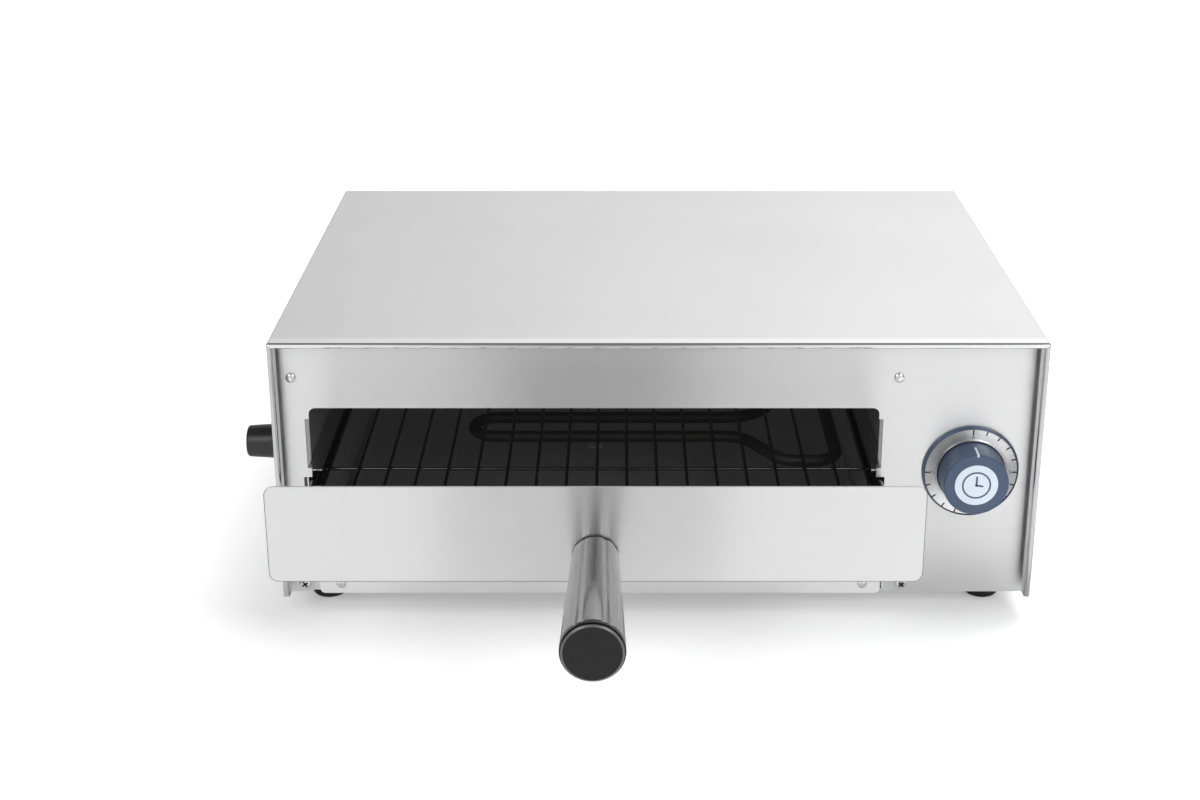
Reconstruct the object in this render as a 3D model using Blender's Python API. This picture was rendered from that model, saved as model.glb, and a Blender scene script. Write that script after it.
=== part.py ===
"""Countertop pizza oven with a pull-out rack, a crumb tray, a timer knob and a selector knob.

The oven is modelled about its casing: X runs to the right, Y to the back and Z up. Y = 0 is the
front edge of the cover, X = 0 its middle and Z = 0 the surface that the feet stand on. The empty
"oven" then moves everything so that the world's origin is under the middle of the bounding box.
The rack is modelled partly drawn out, and the crumb tray is modelled closed.
"""

import math

import bmesh
import bpy
from mathutils import Vector

# Casing
BODY_WIDTH = 0.465
BODY_DEPTH = 0.330
BODY_HEIGHT = 0.185
SHEET = 0.001
THIN_SHEET = 0.0008
GAP = 0.0003
HEM = 0.0037
COVER_RADIUS = 0.0015
COVER_BOTTOM = 0.016
PANEL_FRONT = 0.0155
PANEL_BOTTOM = 0.012
BASE_TOP = 0.0135
FLANGE_HEIGHT = 0.0125
FLANGE_HALF = 0.225
BACK_PANEL_Y = 0.3285
DIAL_HOLE_RADIUS = 0.0060
GLAND_HOLE_RADIUS = 0.0080
BASE_TABS_X = ((-0.2269, -0.2180), (0.1485, 0.1600))
TRAY_END_TAB_X = (-0.2162, -0.2092)

# Air slots in the back panel, in two banks
AIR_SLOT_MIDDLES = (-0.110, 0.090)
AIR_SLOT_ROWS = 6
AIR_SLOT_PITCH = 0.009
AIR_SLOT_FIRST = 0.110
AIR_SLOT_HALF_LENGTH = 0.030
AIR_SLOT_HEIGHT = 0.004

# Slot opening in the front panel
OPENING_LEFT = -0.2124
OPENING_RIGHT = 0.1351
OPENING_TOP = 0.1373
OPENING_BOTTOM = 0.0820
OPENING_RADIUS = 0.004
OPENING_FLANGE = 0.0127
OPENING_FLANGE_LOW = 0.0973
OPENING_FLANGE_HIGH = 0.1300
OPENING_FLANGE_RELIEF = 0.0024
NOTCH_LEFT = -0.2176
NOTCH_RIGHT = 0.1403
NOTCH_TOP = 0.0913

# Chamber
CHAMBER_MIDDLE = -0.03725
CHAMBER_HALF = 0.17925
CEILING = 0.1650
CHAMBER_BACK = 0.2998
RAIL_WEB_HALF = 0.17775
RAIL_EDGE_HALF = 0.16935
RAIL_BOTTOM = 0.0836
RAIL_TOP = 0.0960
RAIL_END = 0.2900
LOWER_HEATER_Z = 0.0650
UPPER_HEATER_Z = 0.1520
HEATER_RADIUS = 0.0040
HEATER_TAIL_X = (0.085, 0.122)
HEATER_TAIL_Y = 0.312
HEATER_BACK_LEG_Y = 0.171
HEATER_FRONT_LEG_Y = 0.138
HEATER_LEFT_END = -0.1238
HEATER_NEAR_Y = 0.098
BUSH_RADIUS = 0.0058
BUSH_FLANGE_RADIUS = 0.0085
BRACKET_X = (-0.045, -0.035)
BRACKET_FRONT_Y = 0.130
BRACKET_LEG = 0.0070
RIVET_TAB_Z = (0.1500, 0.1610)
SHIELD_X = 0.1500
SHIELD_Y = (0.0300, 0.2985)
SHIELD_TOP = 0.1700
SHIELD_FOOT = 0.010

# Pull-out rack, drawn out 111 mm from where its door plate closes the slot
DOOR_Y = -0.098
DOOR_LEFT = -0.2190
DOOR_RIGHT = 0.1466
DOOR_BOTTOM = 0.0796
DOOR_TOP = 0.1380
DOOR_THICK = 0.0012
DOOR_RADIUS = 0.0055
WIRE_RADIUS = 0.0010
WIRE_COUNT = 19
RACK_HALF = 0.16755
RACK_Z = 0.0885
RACK_START = -0.0950
RACK_END = 0.1850
SIDE_ROD_HALF = 0.1746
SIDE_ROD_RADIUS = 0.0018
CROSS_WIRE_HALF = 0.1741
CROSS_WIRE_DROP = 0.0016
CROSS_WIRE_Y = (-0.0925, 0.0375, 0.1675)
CLIP_BAYS = (3.5, 14.5)
CLIP_WIDTH = 0.012

# Handle, a tapered tube along Y
HANDLE_X = -0.0365
HANDLE_Z = 0.0954
HANDLE_LENGTH = 0.1055
HANDLE_BASE_RADIUS = 0.0132
HANDLE_END_RADIUS = 0.0171
HANDLE_WALL = 0.0012
CAP_LENGTH = 0.0046
CAP_FACE_RADIUS = 0.0155
BOLT_RADIUS = 0.0030

# Crumb tray
TRAY_LEFT = -0.2118
TRAY_RIGHT = 0.1410
TRAY_FRONT_BOTTOM = 0.0109
TRAY_FRONT_TOP = 0.0300
TRAY_RADIUS = 0.003
TRAY_SLOT_LEFT = -0.2158
TRAY_SLOT_RIGHT = 0.1416
TRAY_SLOT_TOP = 0.0305
TRAY_SLOT_RADIUS = 0.004
PAN_LEFT = -0.2085
PAN_RIGHT = 0.1377
PAN_BOTTOM = 0.0142
PAN_TOP = 0.0262
PAN_BACK = 0.2980
TRAY_RIVET_X = (-0.1986, 0.1298)
TRAY_RIVET_Z = 0.0177

# Controls
DIAL_X = 0.1926
DIAL_Z = 0.0960
BEZEL_RADIUS = 0.02975
DIAL_RING_RADIUS = 0.0283
KNOB_BASE_RADIUS = 0.0202
KNOB_FRONT_RADIUS = 0.0197
KNOB_FRONT_Y = -0.0065
SHAFT_RADIUS = 0.0030
SELECTOR_Y = 0.0252
SELECTOR_Z = 0.1115
SELECTOR_REACH = 0.0197
SELECTOR_RADIUS = 0.0108
SELECTOR_STEM_RADIUS = 0.0030
SELECTOR_STEM_DEPTH = 0.0078
SELECTOR_HOLE_RADIUS = 0.0042
TIMER_HALF_WIDTH = 0.024
TIMER_HALF_HEIGHT = 0.027
TIMER_DEPTH = 0.0350

# Fasteners and feet
RIVET_RADIUS = 0.0031
RIVET_SHANK = 0.0015
PANEL_RIVET_X = (-0.2219, 0.1460)
PANEL_RIVET_Z = 0.1572
SCREW_HEAD_RADIUS = 0.0040
SCREW_HEAD_HEIGHT = 0.0026
SCREW_SHANK = 0.0017
RECESS_HALF_LENGTH = 0.0021
RECESS_HALF_WIDTH = 0.0004
RECESS_DEPTH = 0.0011
PANEL_SCREW_X = (-0.2209, 0.1540)
PANEL_SCREW_Z = 0.0182
BACK_SCREW_X = 0.2150
BACK_SCREW_Z = (0.0200, 0.1765)
FOOT_RADIUS = 0.0120
FOOT_X = 0.2096
FOOT_Y = (0.0400, 0.2900)

# Cable gland
GLAND_X = 0.1900
GLAND_Z = 0.0450
GLAND_REACH = 0.0090
GLAND_BORE = 0.0037
GLAND_RADIUS = 0.0110

# Terminal block and wires
TERMINAL_LOW = (0.1700, 0.2550)
TERMINAL_HIGH = (0.2180, 0.2730)
TERMINAL_HEIGHT = 0.0180
TERMINAL_PITCH = 0.012
WIRE_SLEEVE_RADIUS = 0.0015
SUPPLY_X = 0.2100
CROSSING_Z = 0.1765
CROSSING_Y = 0.0480

HALF_WIDTH = BODY_WIDTH / 2
INNER_HALF = HALF_WIDTH - SHEET - GAP
PANEL_TOP = BODY_HEIGHT - SHEET - GAP
PANEL_BACK = PANEL_FRONT + SHEET
BEHIND_PANEL = PANEL_BACK + GAP
DOOR_BACK = DOOR_Y + DOOR_THICK
FACES_FRONT = (math.pi / 2, 0, 0)
FACES_BACK = (-math.pi / 2, 0, 0)
FACES_LEFT = (0, -math.pi / 2, 0)
FACES_UP = (0, 0, 0)

# Finish: base colour, roughness, metallic
FINISHES = {
    "brushed_steel": ((0.62, 0.62, 0.61), 0.32, 1.0),
    "polished_steel": ((0.72, 0.72, 0.72), 0.12, 1.0),
    "inner_steel": ((0.10, 0.10, 0.11), 0.45, 1.0),
    "rack_wire": ((0.16, 0.16, 0.16), 0.35, 1.0),
    "heater_sheath": ((0.05, 0.05, 0.05), 0.45, 0.6),
    "slate_plastic": ((0.075, 0.115, 0.195), 0.45, 0.0),
    "black_plastic": ((0.02, 0.02, 0.02), 0.4, 0.0),
    "rubber": ((0.015, 0.015, 0.015), 0.8, 0.0),
    "ceramic": ((0.80, 0.78, 0.72), 0.5, 0.0),
    "brass": ((0.70, 0.52, 0.22), 0.3, 1.0),
    "wire_sleeve": ((0.55, 0.50, 0.42), 0.7, 0.0),
}


def clear_scene():
    for old in list(bpy.data.objects):
        bpy.data.objects.remove(old, do_unlink=True)


def finish_material(finish):
    found = bpy.data.materials.get(finish)
    if found:
        return found
    colour, roughness, metallic = FINISHES[finish]
    material = bpy.data.materials.new(finish)
    material.use_nodes = True
    shader = material.node_tree.nodes["Principled BSDF"]
    shader.inputs["Base Color"].default_value = (*colour, 1.0)
    shader.inputs["Roughness"].default_value = roughness
    shader.inputs["Metallic"].default_value = metallic
    return material


def empty(name, parent=None, location=(0, 0, 0)):
    made = bpy.data.objects.new(name, None)
    made.parent = parent
    made.location = location
    bpy.context.scene.collection.objects.link(made)
    return made


def place(name, data, finish, parent, location=(0, 0, 0), rotation=(0, 0, 0)):
    made = bpy.data.objects.new(name, data)
    made.parent = parent
    made.location = location
    made.rotation_euler = rotation
    bpy.context.scene.collection.objects.link(made)
    data.materials.append(finish_material(finish))
    return made


def to_mesh(name, bm, smooth=False):
    bmesh.ops.recalc_face_normals(bm, faces=bm.faces)
    mesh = bpy.data.meshes.new(name)
    bm.to_mesh(mesh)
    bm.free()
    if smooth:
        mesh.shade_smooth()
        mesh.set_sharp_from_angle(angle=math.radians(35))
    return mesh


def helper(made):
    """Marks an object as a cutter or a tool, which is not a piece of the oven."""
    made.hide_render = True
    made.display_type = "WIRE"
    return made


def boolean(target, tool, operation):
    modifier = target.modifiers.new(tool.name, "BOOLEAN")
    modifier.object = tool
    modifier.operation = operation
    modifier.solver = "EXACT"
    helper(tool)


def arc(centre, radius, start, end, steps=4):
    """Points of an arc in a plane, from one angle to another in degrees."""
    points = []
    for step in range(steps + 1):
        angle = math.radians(start + (end - start) * step / steps)
        points.append((centre[0] + radius * math.cos(angle), centre[1] + radius * math.sin(angle)))
    return points


def circle(centre, radius, count=12):
    return arc(centre, radius, 0, 360 * (count - 1) / count, count - 1)


def rounded_rectangle(left, right, bottom, top, radius, steps=4):
    corners = (
        ((right - radius, top - radius), 0),
        ((left + radius, top - radius), 90),
        ((left + radius, bottom + radius), 180),
        ((right - radius, bottom + radius), 270),
    )
    return [point for centre, turn in corners for point in arc(centre, radius, turn, turn + 90, steps)]


def sheet_mesh(name, loops, thickness):
    """A flat sheet from an outline and the outlines of its holes, raised along local Z."""
    bm = bmesh.new()
    for loop in loops:
        verts = [bm.verts.new((u, v, 0)) for u, v in loop]
        for first, second in zip(verts, verts[1:] + verts[:1]):
            bm.edges.new((first, second))
    bmesh.ops.triangle_fill(bm, use_beauty=True, use_dissolve=False, edges=bm.edges[:])
    raised = bmesh.ops.extrude_face_region(bm, geom=bm.faces[:])
    moved = [item for item in raised["geom"] if isinstance(item, bmesh.types.BMVert)]
    bmesh.ops.translate(bm, verts=moved, vec=(0, 0, thickness))
    return to_mesh(name, bm)


def upright_sheet(name, loops, front, thickness, finish, parent):
    """A sheet that faces the front: its outlines are in X and Z, and front is its front face."""
    mesh = sheet_mesh(name, loops, thickness)
    return place(name, mesh, finish, parent, (0, front + thickness, 0), FACES_FRONT)


def add_box(bm, low, high):
    size = Vector(high) - Vector(low)
    made = bmesh.ops.create_cube(bm, size=1.0)["verts"]
    bmesh.ops.scale(bm, verts=made, vec=size)
    bmesh.ops.translate(bm, verts=made, vec=(Vector(low) + Vector(high)) / 2)


def box(name, low, high, finish, parent):
    bm = bmesh.new()
    add_box(bm, low, high)
    return place(name, to_mesh(name, bm), finish, parent)


def join_boxes(target, name, corners):
    """Joins each box, given by its low and high corners, to the target."""
    for index, (low, high) in enumerate(corners):
        tool = box(f"{name}_{index}", low, high, "brushed_steel", target.parent)
        boolean(target, tool, "UNION")


def cut_boxes(target, name, corners):
    bm = bmesh.new()
    for low, high in corners:
        add_box(bm, low, high)
    tool = place(name, to_mesh(name, bm), "brushed_steel", target.parent)
    boolean(target, tool, "DIFFERENCE")


def drill(target, name, centres, radius, start, end, axis="Y", segments=12):
    """Drills round holes through the target, along Y from start to end, or along Z."""
    bm = bmesh.new()
    for u, v in centres:
        made = bmesh.ops.create_cone(
            bm, cap_ends=True, segments=segments, radius1=radius, radius2=radius, depth=end - start
        )["verts"]
        bmesh.ops.translate(bm, verts=made, vec=(u, v, (start + end) / 2))
    rotation = FACES_UP if axis == "Z" else FACES_BACK
    if axis == "Y":
        bmesh.ops.scale(bm, verts=bm.verts, vec=(1, -1, 1))
    tool = place(name, to_mesh(name, bm), "brushed_steel", target.parent, (0, 0, 0), rotation)
    boolean(target, tool, "DIFFERENCE")


def bore_sideways(target, name, centre, radius, depth):
    """Drills a round hole along X, with its middle at the centre."""
    bm = bmesh.new()
    bmesh.ops.create_cone(bm, cap_ends=True, segments=16, radius1=radius, radius2=radius, depth=depth)
    tool = place(name, to_mesh(name, bm), "brushed_steel", target.parent, centre, FACES_LEFT)
    boolean(target, tool, "DIFFERENCE")


def turned(name, profile, finish, parent, location=(0, 0, 0), rotation=FACES_UP, segments=24, ring=False):
    """A turned piece about local Z. The profile lists radius and height; a ring's is a closed loop."""
    bm = bmesh.new()
    verts = [bm.verts.new((radius, 0, height)) for radius, height in profile]
    edges = [bm.edges.new(pair) for pair in zip(verts, verts[1:])]
    if ring:
        edges.append(bm.edges.new((verts[-1], verts[0])))
    bmesh.ops.spin(
        bm, geom=verts + edges, cent=(0, 0, 0), axis=(0, 0, 1), angle=math.tau, steps=segments
    )
    bmesh.ops.remove_doubles(bm, verts=bm.verts, dist=1e-6)
    return place(name, to_mesh(name, bm, smooth=True), finish, parent, location, rotation)


def filleted(corners, steps=6):
    """A route through corners, each given as a point and the radius that rounds it."""
    points = [Vector(corners[0][0])]
    for before, (corner, radius), after in zip(corners, corners[1:], corners[2:]):
        corner = Vector(corner)
        back = (Vector(before[0]) - corner).normalized()
        ahead = (Vector(after[0]) - corner).normalized()
        half = back.angle(ahead) / 2
        centre = corner + (back + ahead).normalized() * radius / math.sin(half)
        start = corner + back * radius / math.tan(half) - centre
        end = corner + ahead * radius / math.tan(half) - centre
        for step in range(steps + 1):
            points.append(centre + start.slerp(end, step / steps).normalized() * radius)
    points.append(Vector(corners[-1][0]))
    return points


def tube(name, points, radius, finish, parent, resolution=2):
    curve = bpy.data.curves.new(name, "CURVE")
    curve.dimensions = "3D"
    curve.bevel_depth = radius
    curve.bevel_resolution = resolution
    curve.use_fill_caps = True
    spline = curve.splines.new("POLY")
    spline.points.add(len(points) - 1)
    for point, place_at in zip(spline.points, points):
        point.co = (*place_at, 1.0)
    return place(name, curve, finish, parent)


def wrap_path(middle, half, top, bottom, radius, inset):
    """Points of a U turned upside down, inset from its outer size, from its left foot to its right."""
    rounding = max(radius - inset, 0.0002)
    left = middle - half + inset
    right = middle + half - inset
    roof = top - inset
    points = [(left, bottom)]
    points += arc((left + rounding, roof - rounding), rounding, 180, 90, 3)
    points += arc((right - rounding, roof - rounding), rounding, 90, 0, 3)
    points.append((right, bottom))
    return points


def wrap(name, middle, half, top, bottom, radius, sections, finish, parent):
    """A sheet bent over the left side, the top and the right side, through sections along Y.

    Each section is its Y, the inset of its outer face and the inset of its inner face.
    """
    bm = bmesh.new()
    rings = []
    for y, outer, inner in sections:
        foot = bottom + outer
        path = wrap_path(middle, half, top, foot, radius, outer)
        path += reversed(wrap_path(middle, half, top, foot, radius, inner))
        rings.append([bm.verts.new((x, y, z)) for x, z in path])
    for ring, following in zip(rings, rings[1:]):
        for index in range(len(ring)):
            after = (index + 1) % len(ring)
            bm.faces.new((ring[index], ring[after], following[after], following[index]))
    for ring in (rings[0], rings[-1]):
        for index in range(len(ring) // 2 - 1):
            bm.faces.new((ring[index], ring[index + 1], ring[-2 - index], ring[-1 - index]))
    return place(name, to_mesh(name, bm), finish, parent)


def cover_shell(oven):
    """The cover, hemmed round its front edge, with a flange at the back for the back panel's screws."""
    sections = (
        (0.0, 0.0012, HEM - 0.0012),
        (0.0004, 0.0004, HEM - 0.0004),
        (0.0012, 0.0, HEM),
        (HEM, 0.0, HEM),
        (HEM + 0.0004, 0.0, SHEET),
        (BODY_DEPTH, 0.0, SHEET),
    )
    size = (HALF_WIDTH, BODY_HEIGHT, COVER_BOTTOM, COVER_RADIUS)
    cover = wrap("cover_shell", 0, *size, sections, "brushed_steel", oven)
    flange_y = BACK_PANEL_Y - GAP - SHEET
    roof = BODY_HEIGHT - SHEET
    low = (-FLANGE_HALF, flange_y, roof - FLANGE_HEIGHT)
    high = (FLANGE_HALF, flange_y + SHEET, roof + SHEET / 2)
    join_boxes(cover, "cover_flange", [(low, high)])
    screws = [(side * BACK_SCREW_X, BACK_SCREW_Z[1]) for side in (-1, 1)]
    drill(cover, "cover_flange_holes", screws, SCREW_SHANK + GAP, flange_y - 0.002, BACK_PANEL_Y + 0.0005)
    centre = (-HALF_WIDTH, SELECTOR_Y, SELECTOR_Z)
    bore_sideways(cover, "selector_hole", centre, SELECTOR_HOLE_RADIUS, 0.006)


def opening_outline():
    """The slot's edge. Its sides step back where a flange is bent in."""
    low = OPENING_FLANGE_LOW
    high = OPENING_FLANGE_HIGH
    step_left = OPENING_LEFT - OPENING_FLANGE_RELIEF
    step_right = OPENING_RIGHT + OPENING_FLANGE_RELIEF
    corner_left = (OPENING_LEFT + OPENING_RADIUS, OPENING_TOP - OPENING_RADIUS)
    corner_right = (OPENING_RIGHT - OPENING_RADIUS, OPENING_TOP - OPENING_RADIUS)
    outline = [
        (NOTCH_LEFT, OPENING_BOTTOM),
        (NOTCH_LEFT, NOTCH_TOP),
        (OPENING_LEFT, NOTCH_TOP),
        (OPENING_LEFT, low),
        (step_left, low),
        (step_left, high),
        (OPENING_LEFT, high),
    ]
    outline += arc(corner_left, OPENING_RADIUS, 180, 90)
    outline += arc(corner_right, OPENING_RADIUS, 90, 0)
    outline += [
        (OPENING_RIGHT, high),
        (step_right, high),
        (step_right, low),
        (OPENING_RIGHT, low),
        (OPENING_RIGHT, NOTCH_TOP),
        (NOTCH_RIGHT, NOTCH_TOP),
        (NOTCH_RIGHT, OPENING_BOTTOM),
    ]
    return outline


def panel_outline():
    """The front panel's edge, with the crumb tray's cut-out in the lower side."""
    radius = TRAY_SLOT_RADIUS
    outline = [(-INNER_HALF, PANEL_BOTTOM)]
    outline += arc((TRAY_SLOT_LEFT - radius, PANEL_BOTTOM + radius), radius, 270, 360)
    outline += [(TRAY_SLOT_LEFT, TRAY_SLOT_TOP), (TRAY_SLOT_RIGHT, TRAY_SLOT_TOP)]
    outline += arc((TRAY_SLOT_RIGHT + radius, PANEL_BOTTOM + radius), radius, 180, 270)
    outline += [
        (INNER_HALF, PANEL_BOTTOM),
        (INNER_HALF, PANEL_TOP),
        (-INNER_HALF, PANEL_TOP),
    ]
    return outline


def front_panel(oven):
    loops = [panel_outline(), opening_outline(), circle((DIAL_X, DIAL_Z), DIAL_HOLE_RADIUS, 16)]
    loops += [circle((x, PANEL_RIVET_Z), RIVET_SHANK + GAP) for x in PANEL_RIVET_X]
    loops += [circle((x, PANEL_SCREW_Z), SCREW_SHANK + GAP) for x in PANEL_SCREW_X]
    panel = upright_sheet("front_panel", loops, PANEL_FRONT, SHEET, "brushed_steel", oven)
    near = PANEL_FRONT + SHEET / 2
    back = PANEL_FRONT + OPENING_FLANGE
    left = OPENING_LEFT - OPENING_FLANGE_RELIEF
    right = OPENING_RIGHT + OPENING_FLANGE_RELIEF
    flanges = [
        ((left - SHEET, near, OPENING_FLANGE_LOW), (left, back, OPENING_FLANGE_HIGH)),
        ((right, near, OPENING_FLANGE_LOW), (right + SHEET, back, OPENING_FLANGE_HIGH)),
        ((-INNER_HALF, near, PANEL_TOP - SHEET), (INNER_HALF, back, PANEL_TOP)),
    ]
    join_boxes(panel, "panel_flange", flanges)


def back_panel(oven):
    """The back panel, with two banks of air slots, the gland's hole and the screws' holes."""
    outline = rounded_rectangle(-INNER_HALF, INNER_HALF, BASE_TOP + GAP, PANEL_TOP, 0.002, 2)
    loops = [outline, circle((GLAND_X, GLAND_Z), GLAND_HOLE_RADIUS, 20)]
    loops += [
        circle((side * BACK_SCREW_X, height), SCREW_SHANK + GAP)
        for side in (-1, 1)
        for height in BACK_SCREW_Z
    ]
    for middle in AIR_SLOT_MIDDLES:
        left = middle - AIR_SLOT_HALF_LENGTH
        right = middle + AIR_SLOT_HALF_LENGTH
        for row in range(AIR_SLOT_ROWS):
            low = AIR_SLOT_FIRST + AIR_SLOT_PITCH * row
            loops.append(rounded_rectangle(left, right, low, low + AIR_SLOT_HEIGHT, 0.0018, 1))
    upright_sheet("back_panel", loops, BACK_PANEL_Y, SHEET, "brushed_steel", oven)


def base_plate(oven):
    """The base, with side and back flanges, two tabs for the front panel's screws and one by the tray."""
    bottom = BASE_TOP - SHEET
    base = box(
        "base_plate",
        (-INNER_HALF, BEHIND_PANEL, bottom),
        (INNER_HALF, BACK_PANEL_Y - GAP, BASE_TOP),
        "brushed_steel",
        oven,
    )
    rise = BASE_TOP + FLANGE_HEIGHT
    middle = BASE_TOP - SHEET / 2
    back = BACK_PANEL_Y - GAP
    flanges = [
        ((-INNER_HALF, BEHIND_PANEL + 0.01, middle), (-INNER_HALF + SHEET, back - 0.01, rise)),
        ((INNER_HALF - SHEET, BEHIND_PANEL + 0.01, middle), (INNER_HALF, back - 0.01, rise)),
        ((-FLANGE_HALF, back - SHEET, middle), (FLANGE_HALF, back, rise)),
    ]
    for (left, right), top in zip((*BASE_TABS_X, TRAY_END_TAB_X), (rise, rise, TRAY_FRONT_TOP)):
        flanges.append(((left, BEHIND_PANEL, middle), (right, BEHIND_PANEL + SHEET, top)))
    join_boxes(base, "base_flange", flanges)
    feet = [(side * FOOT_X, y) for side in (-1, 1) for y in FOOT_Y]
    drill(base, "base_foot_holes", feet, SCREW_SHANK + GAP, bottom - 0.002, BASE_TOP + 0.002, axis="Z")
    front = [(x, PANEL_SCREW_Z) for x in PANEL_SCREW_X]
    drill(base, "base_front_holes", front, SCREW_SHANK + GAP, PANEL_FRONT, BEHIND_PANEL + 0.003)
    rear = [(side * BACK_SCREW_X, BACK_SCREW_Z[0]) for side in (-1, 1)]
    drill(base, "base_back_holes", rear, SCREW_SHANK + GAP, back - 0.003, back + 0.002)


def chamber(oven):
    """The chamber's wrap with its two riveting tabs, and its back wall."""
    half = CHAMBER_HALF + THIN_SHEET
    end = CHAMBER_BACK - GAP
    sections = ((BEHIND_PANEL, 0.0, THIN_SHEET), (end, 0.0, THIN_SHEET))
    foot = BASE_TOP + GAP
    liner = wrap(
        "chamber_wrap", CHAMBER_MIDDLE, half, CEILING, foot, 0.003, sections, "inner_steel", oven
    )
    tab = (BEHIND_PANEL, BEHIND_PANEL + THIN_SHEET)
    left = CHAMBER_MIDDLE - half
    right = CHAMBER_MIDDLE + half
    inside = THIN_SHEET / 2
    join_boxes(
        liner,
        "chamber_tab",
        [
            ((left - 0.0095, tab[0], RIVET_TAB_Z[0]), (left + inside, tab[1], RIVET_TAB_Z[1])),
            ((right - inside, tab[0], RIVET_TAB_Z[0]), (right + 0.0085, tab[1], RIVET_TAB_Z[1])),
        ],
    )
    rivets = [(x, PANEL_RIVET_Z) for x in PANEL_RIVET_X]
    drill(liner, "chamber_tab_holes", rivets, RIVET_SHANK + GAP, PANEL_FRONT, tab[1] + 0.002)
    heaters = [(x, z) for x in HEATER_TAIL_X for z in (LOWER_HEATER_Z, UPPER_HEATER_Z)]
    loops = [rounded_rectangle(left - 0.005, right + 0.004, foot, CEILING + 0.004, 0.002, 2)]
    loops += [circle(centre, 0.0062, 16) for centre in heaters]
    upright_sheet("chamber_back", loops, CHAMBER_BACK, THIN_SHEET, "inner_steel", oven)


def heat_shield(oven):
    """A wall between the chamber and the controls, with a foot along the base."""
    front, back = SHIELD_Y
    low = BASE_TOP + GAP
    shield = box(
        "heat_shield",
        (SHIELD_X, front, low),
        (SHIELD_X + THIN_SHEET, back, SHIELD_TOP),
        "inner_steel",
        oven,
    )
    foot = ((SHIELD_X, front, low), (SHIELD_X + SHIELD_FOOT, back, low + THIN_SHEET))
    join_boxes(shield, "shield_foot", [foot])


def rails(oven):
    """Two C-channels that open towards each other and hold the rack's side rods."""
    for name, side in (("left_rail", -1), ("right_rail", 1)):
        web = CHAMBER_MIDDLE + side * RAIL_WEB_HALF
        outside = web + side * SHEET
        edge = CHAMBER_MIDDLE + side * RAIL_EDGE_HALF
        low = min(outside, edge)
        high = max(outside, edge)
        rail = box(
            name, (low, BEHIND_PANEL, RAIL_BOTTOM), (high, RAIL_END, RAIL_TOP), "polished_steel", oven
        )
        groove_low = min(web, edge + -side * 0.002)
        groove_high = max(web, edge + -side * 0.002)
        groove = (
            (groove_low, BEHIND_PANEL - 0.002, RAIL_BOTTOM + SHEET),
            (groove_high, RAIL_END + 0.002, RAIL_TOP - SHEET),
        )
        cut_boxes(rail, name + "_groove", [groove])


def heater_route(height):
    """The element's route: in at the back, out to a round end on the left, and back by the front."""
    return filleted(
        [
            ((HEATER_TAIL_X[0], HEATER_TAIL_Y, height), 0),
            ((HEATER_TAIL_X[0], HEATER_BACK_LEG_Y, height), 0.035),
            ((HEATER_LEFT_END, HEATER_BACK_LEG_Y, height), 0.0164),
            ((HEATER_LEFT_END, HEATER_FRONT_LEG_Y, height), 0.0164),
            ((0.060, HEATER_FRONT_LEG_Y, height), 0.020),
            ((HEATER_TAIL_X[0], HEATER_NEAR_Y, height), 0.016),
            ((HEATER_TAIL_X[1], HEATER_NEAR_Y, height), 0.016),
            ((HEATER_TAIL_X[1], HEATER_TAIL_Y, height), 0),
        ],
        5,
    )


def heater_bushes(name, height, oven):
    profile = (
        (HEATER_RADIUS + GAP, -0.0060),
        (HEATER_RADIUS + GAP, 0.0060),
        (BUSH_RADIUS, 0.0060),
        (BUSH_RADIUS, -GAP),
        (BUSH_FLANGE_RADIUS, -GAP),
        (BUSH_FLANGE_RADIUS, -0.0060),
    )
    for end, x in zip(("inner", "outer"), HEATER_TAIL_X):
        seat = (x, CHAMBER_BACK, height)
        turned(f"{name}_bush_{end}", profile, "ceramic", oven, seat, FACES_BACK, segments=16, ring=True)


def heater_bracket(name, height, side, oven):
    """A strip along the element, below it or above it, with a foot on the chamber's back wall."""
    near = height + side * (HEATER_RADIUS + GAP)
    far = near + side * SHEET
    tip = near + side * BRACKET_LEG
    left, right = BRACKET_X
    back = CHAMBER_BACK - GAP
    bracket = box(
        f"{name}_heater_bracket",
        (left, BRACKET_FRONT_Y, min(near, far)),
        (right, back, max(near, far)),
        "inner_steel",
        oven,
    )
    foot = ((left, back - SHEET, min(near, tip)), (right, back, max(near, tip)))
    join_boxes(bracket, f"{name}_bracket_foot", [foot])


def heaters(oven):
    """Each element, the ceramic bushes in the chamber's back wall and the strip that steadies it."""
    for name, height, side in (("lower", LOWER_HEATER_Z, -1), ("upper", UPPER_HEATER_Z, 1)):
        tube(f"{name}_heater", heater_route(height), HEATER_RADIUS, "heater_sheath", oven)
        heater_bushes(name, height, oven)
        heater_bracket(name, height, side, oven)


def rivet(name, x, z, grip, parent):
    """A dome rivet: its head faces the front and its tail closes behind the sheets it grips."""
    profile = [(0, 0.0017)]
    profile += [(RIVET_RADIUS * math.sin(a), GAP + 0.0014 * math.cos(a)) for a in (0.6, 1.15)]
    profile += [
        (RIVET_RADIUS, GAP),
        (RIVET_SHANK, GAP),
        (RIVET_SHANK, -grip - GAP),
        (0.0026, -grip - GAP),
        (0.0020, -grip - 0.0012),
        (0, -grip - 0.0013),
    ]
    turned(name, profile, "polished_steel", parent, (x, PANEL_FRONT, z), FACES_FRONT, segments=12)


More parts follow.
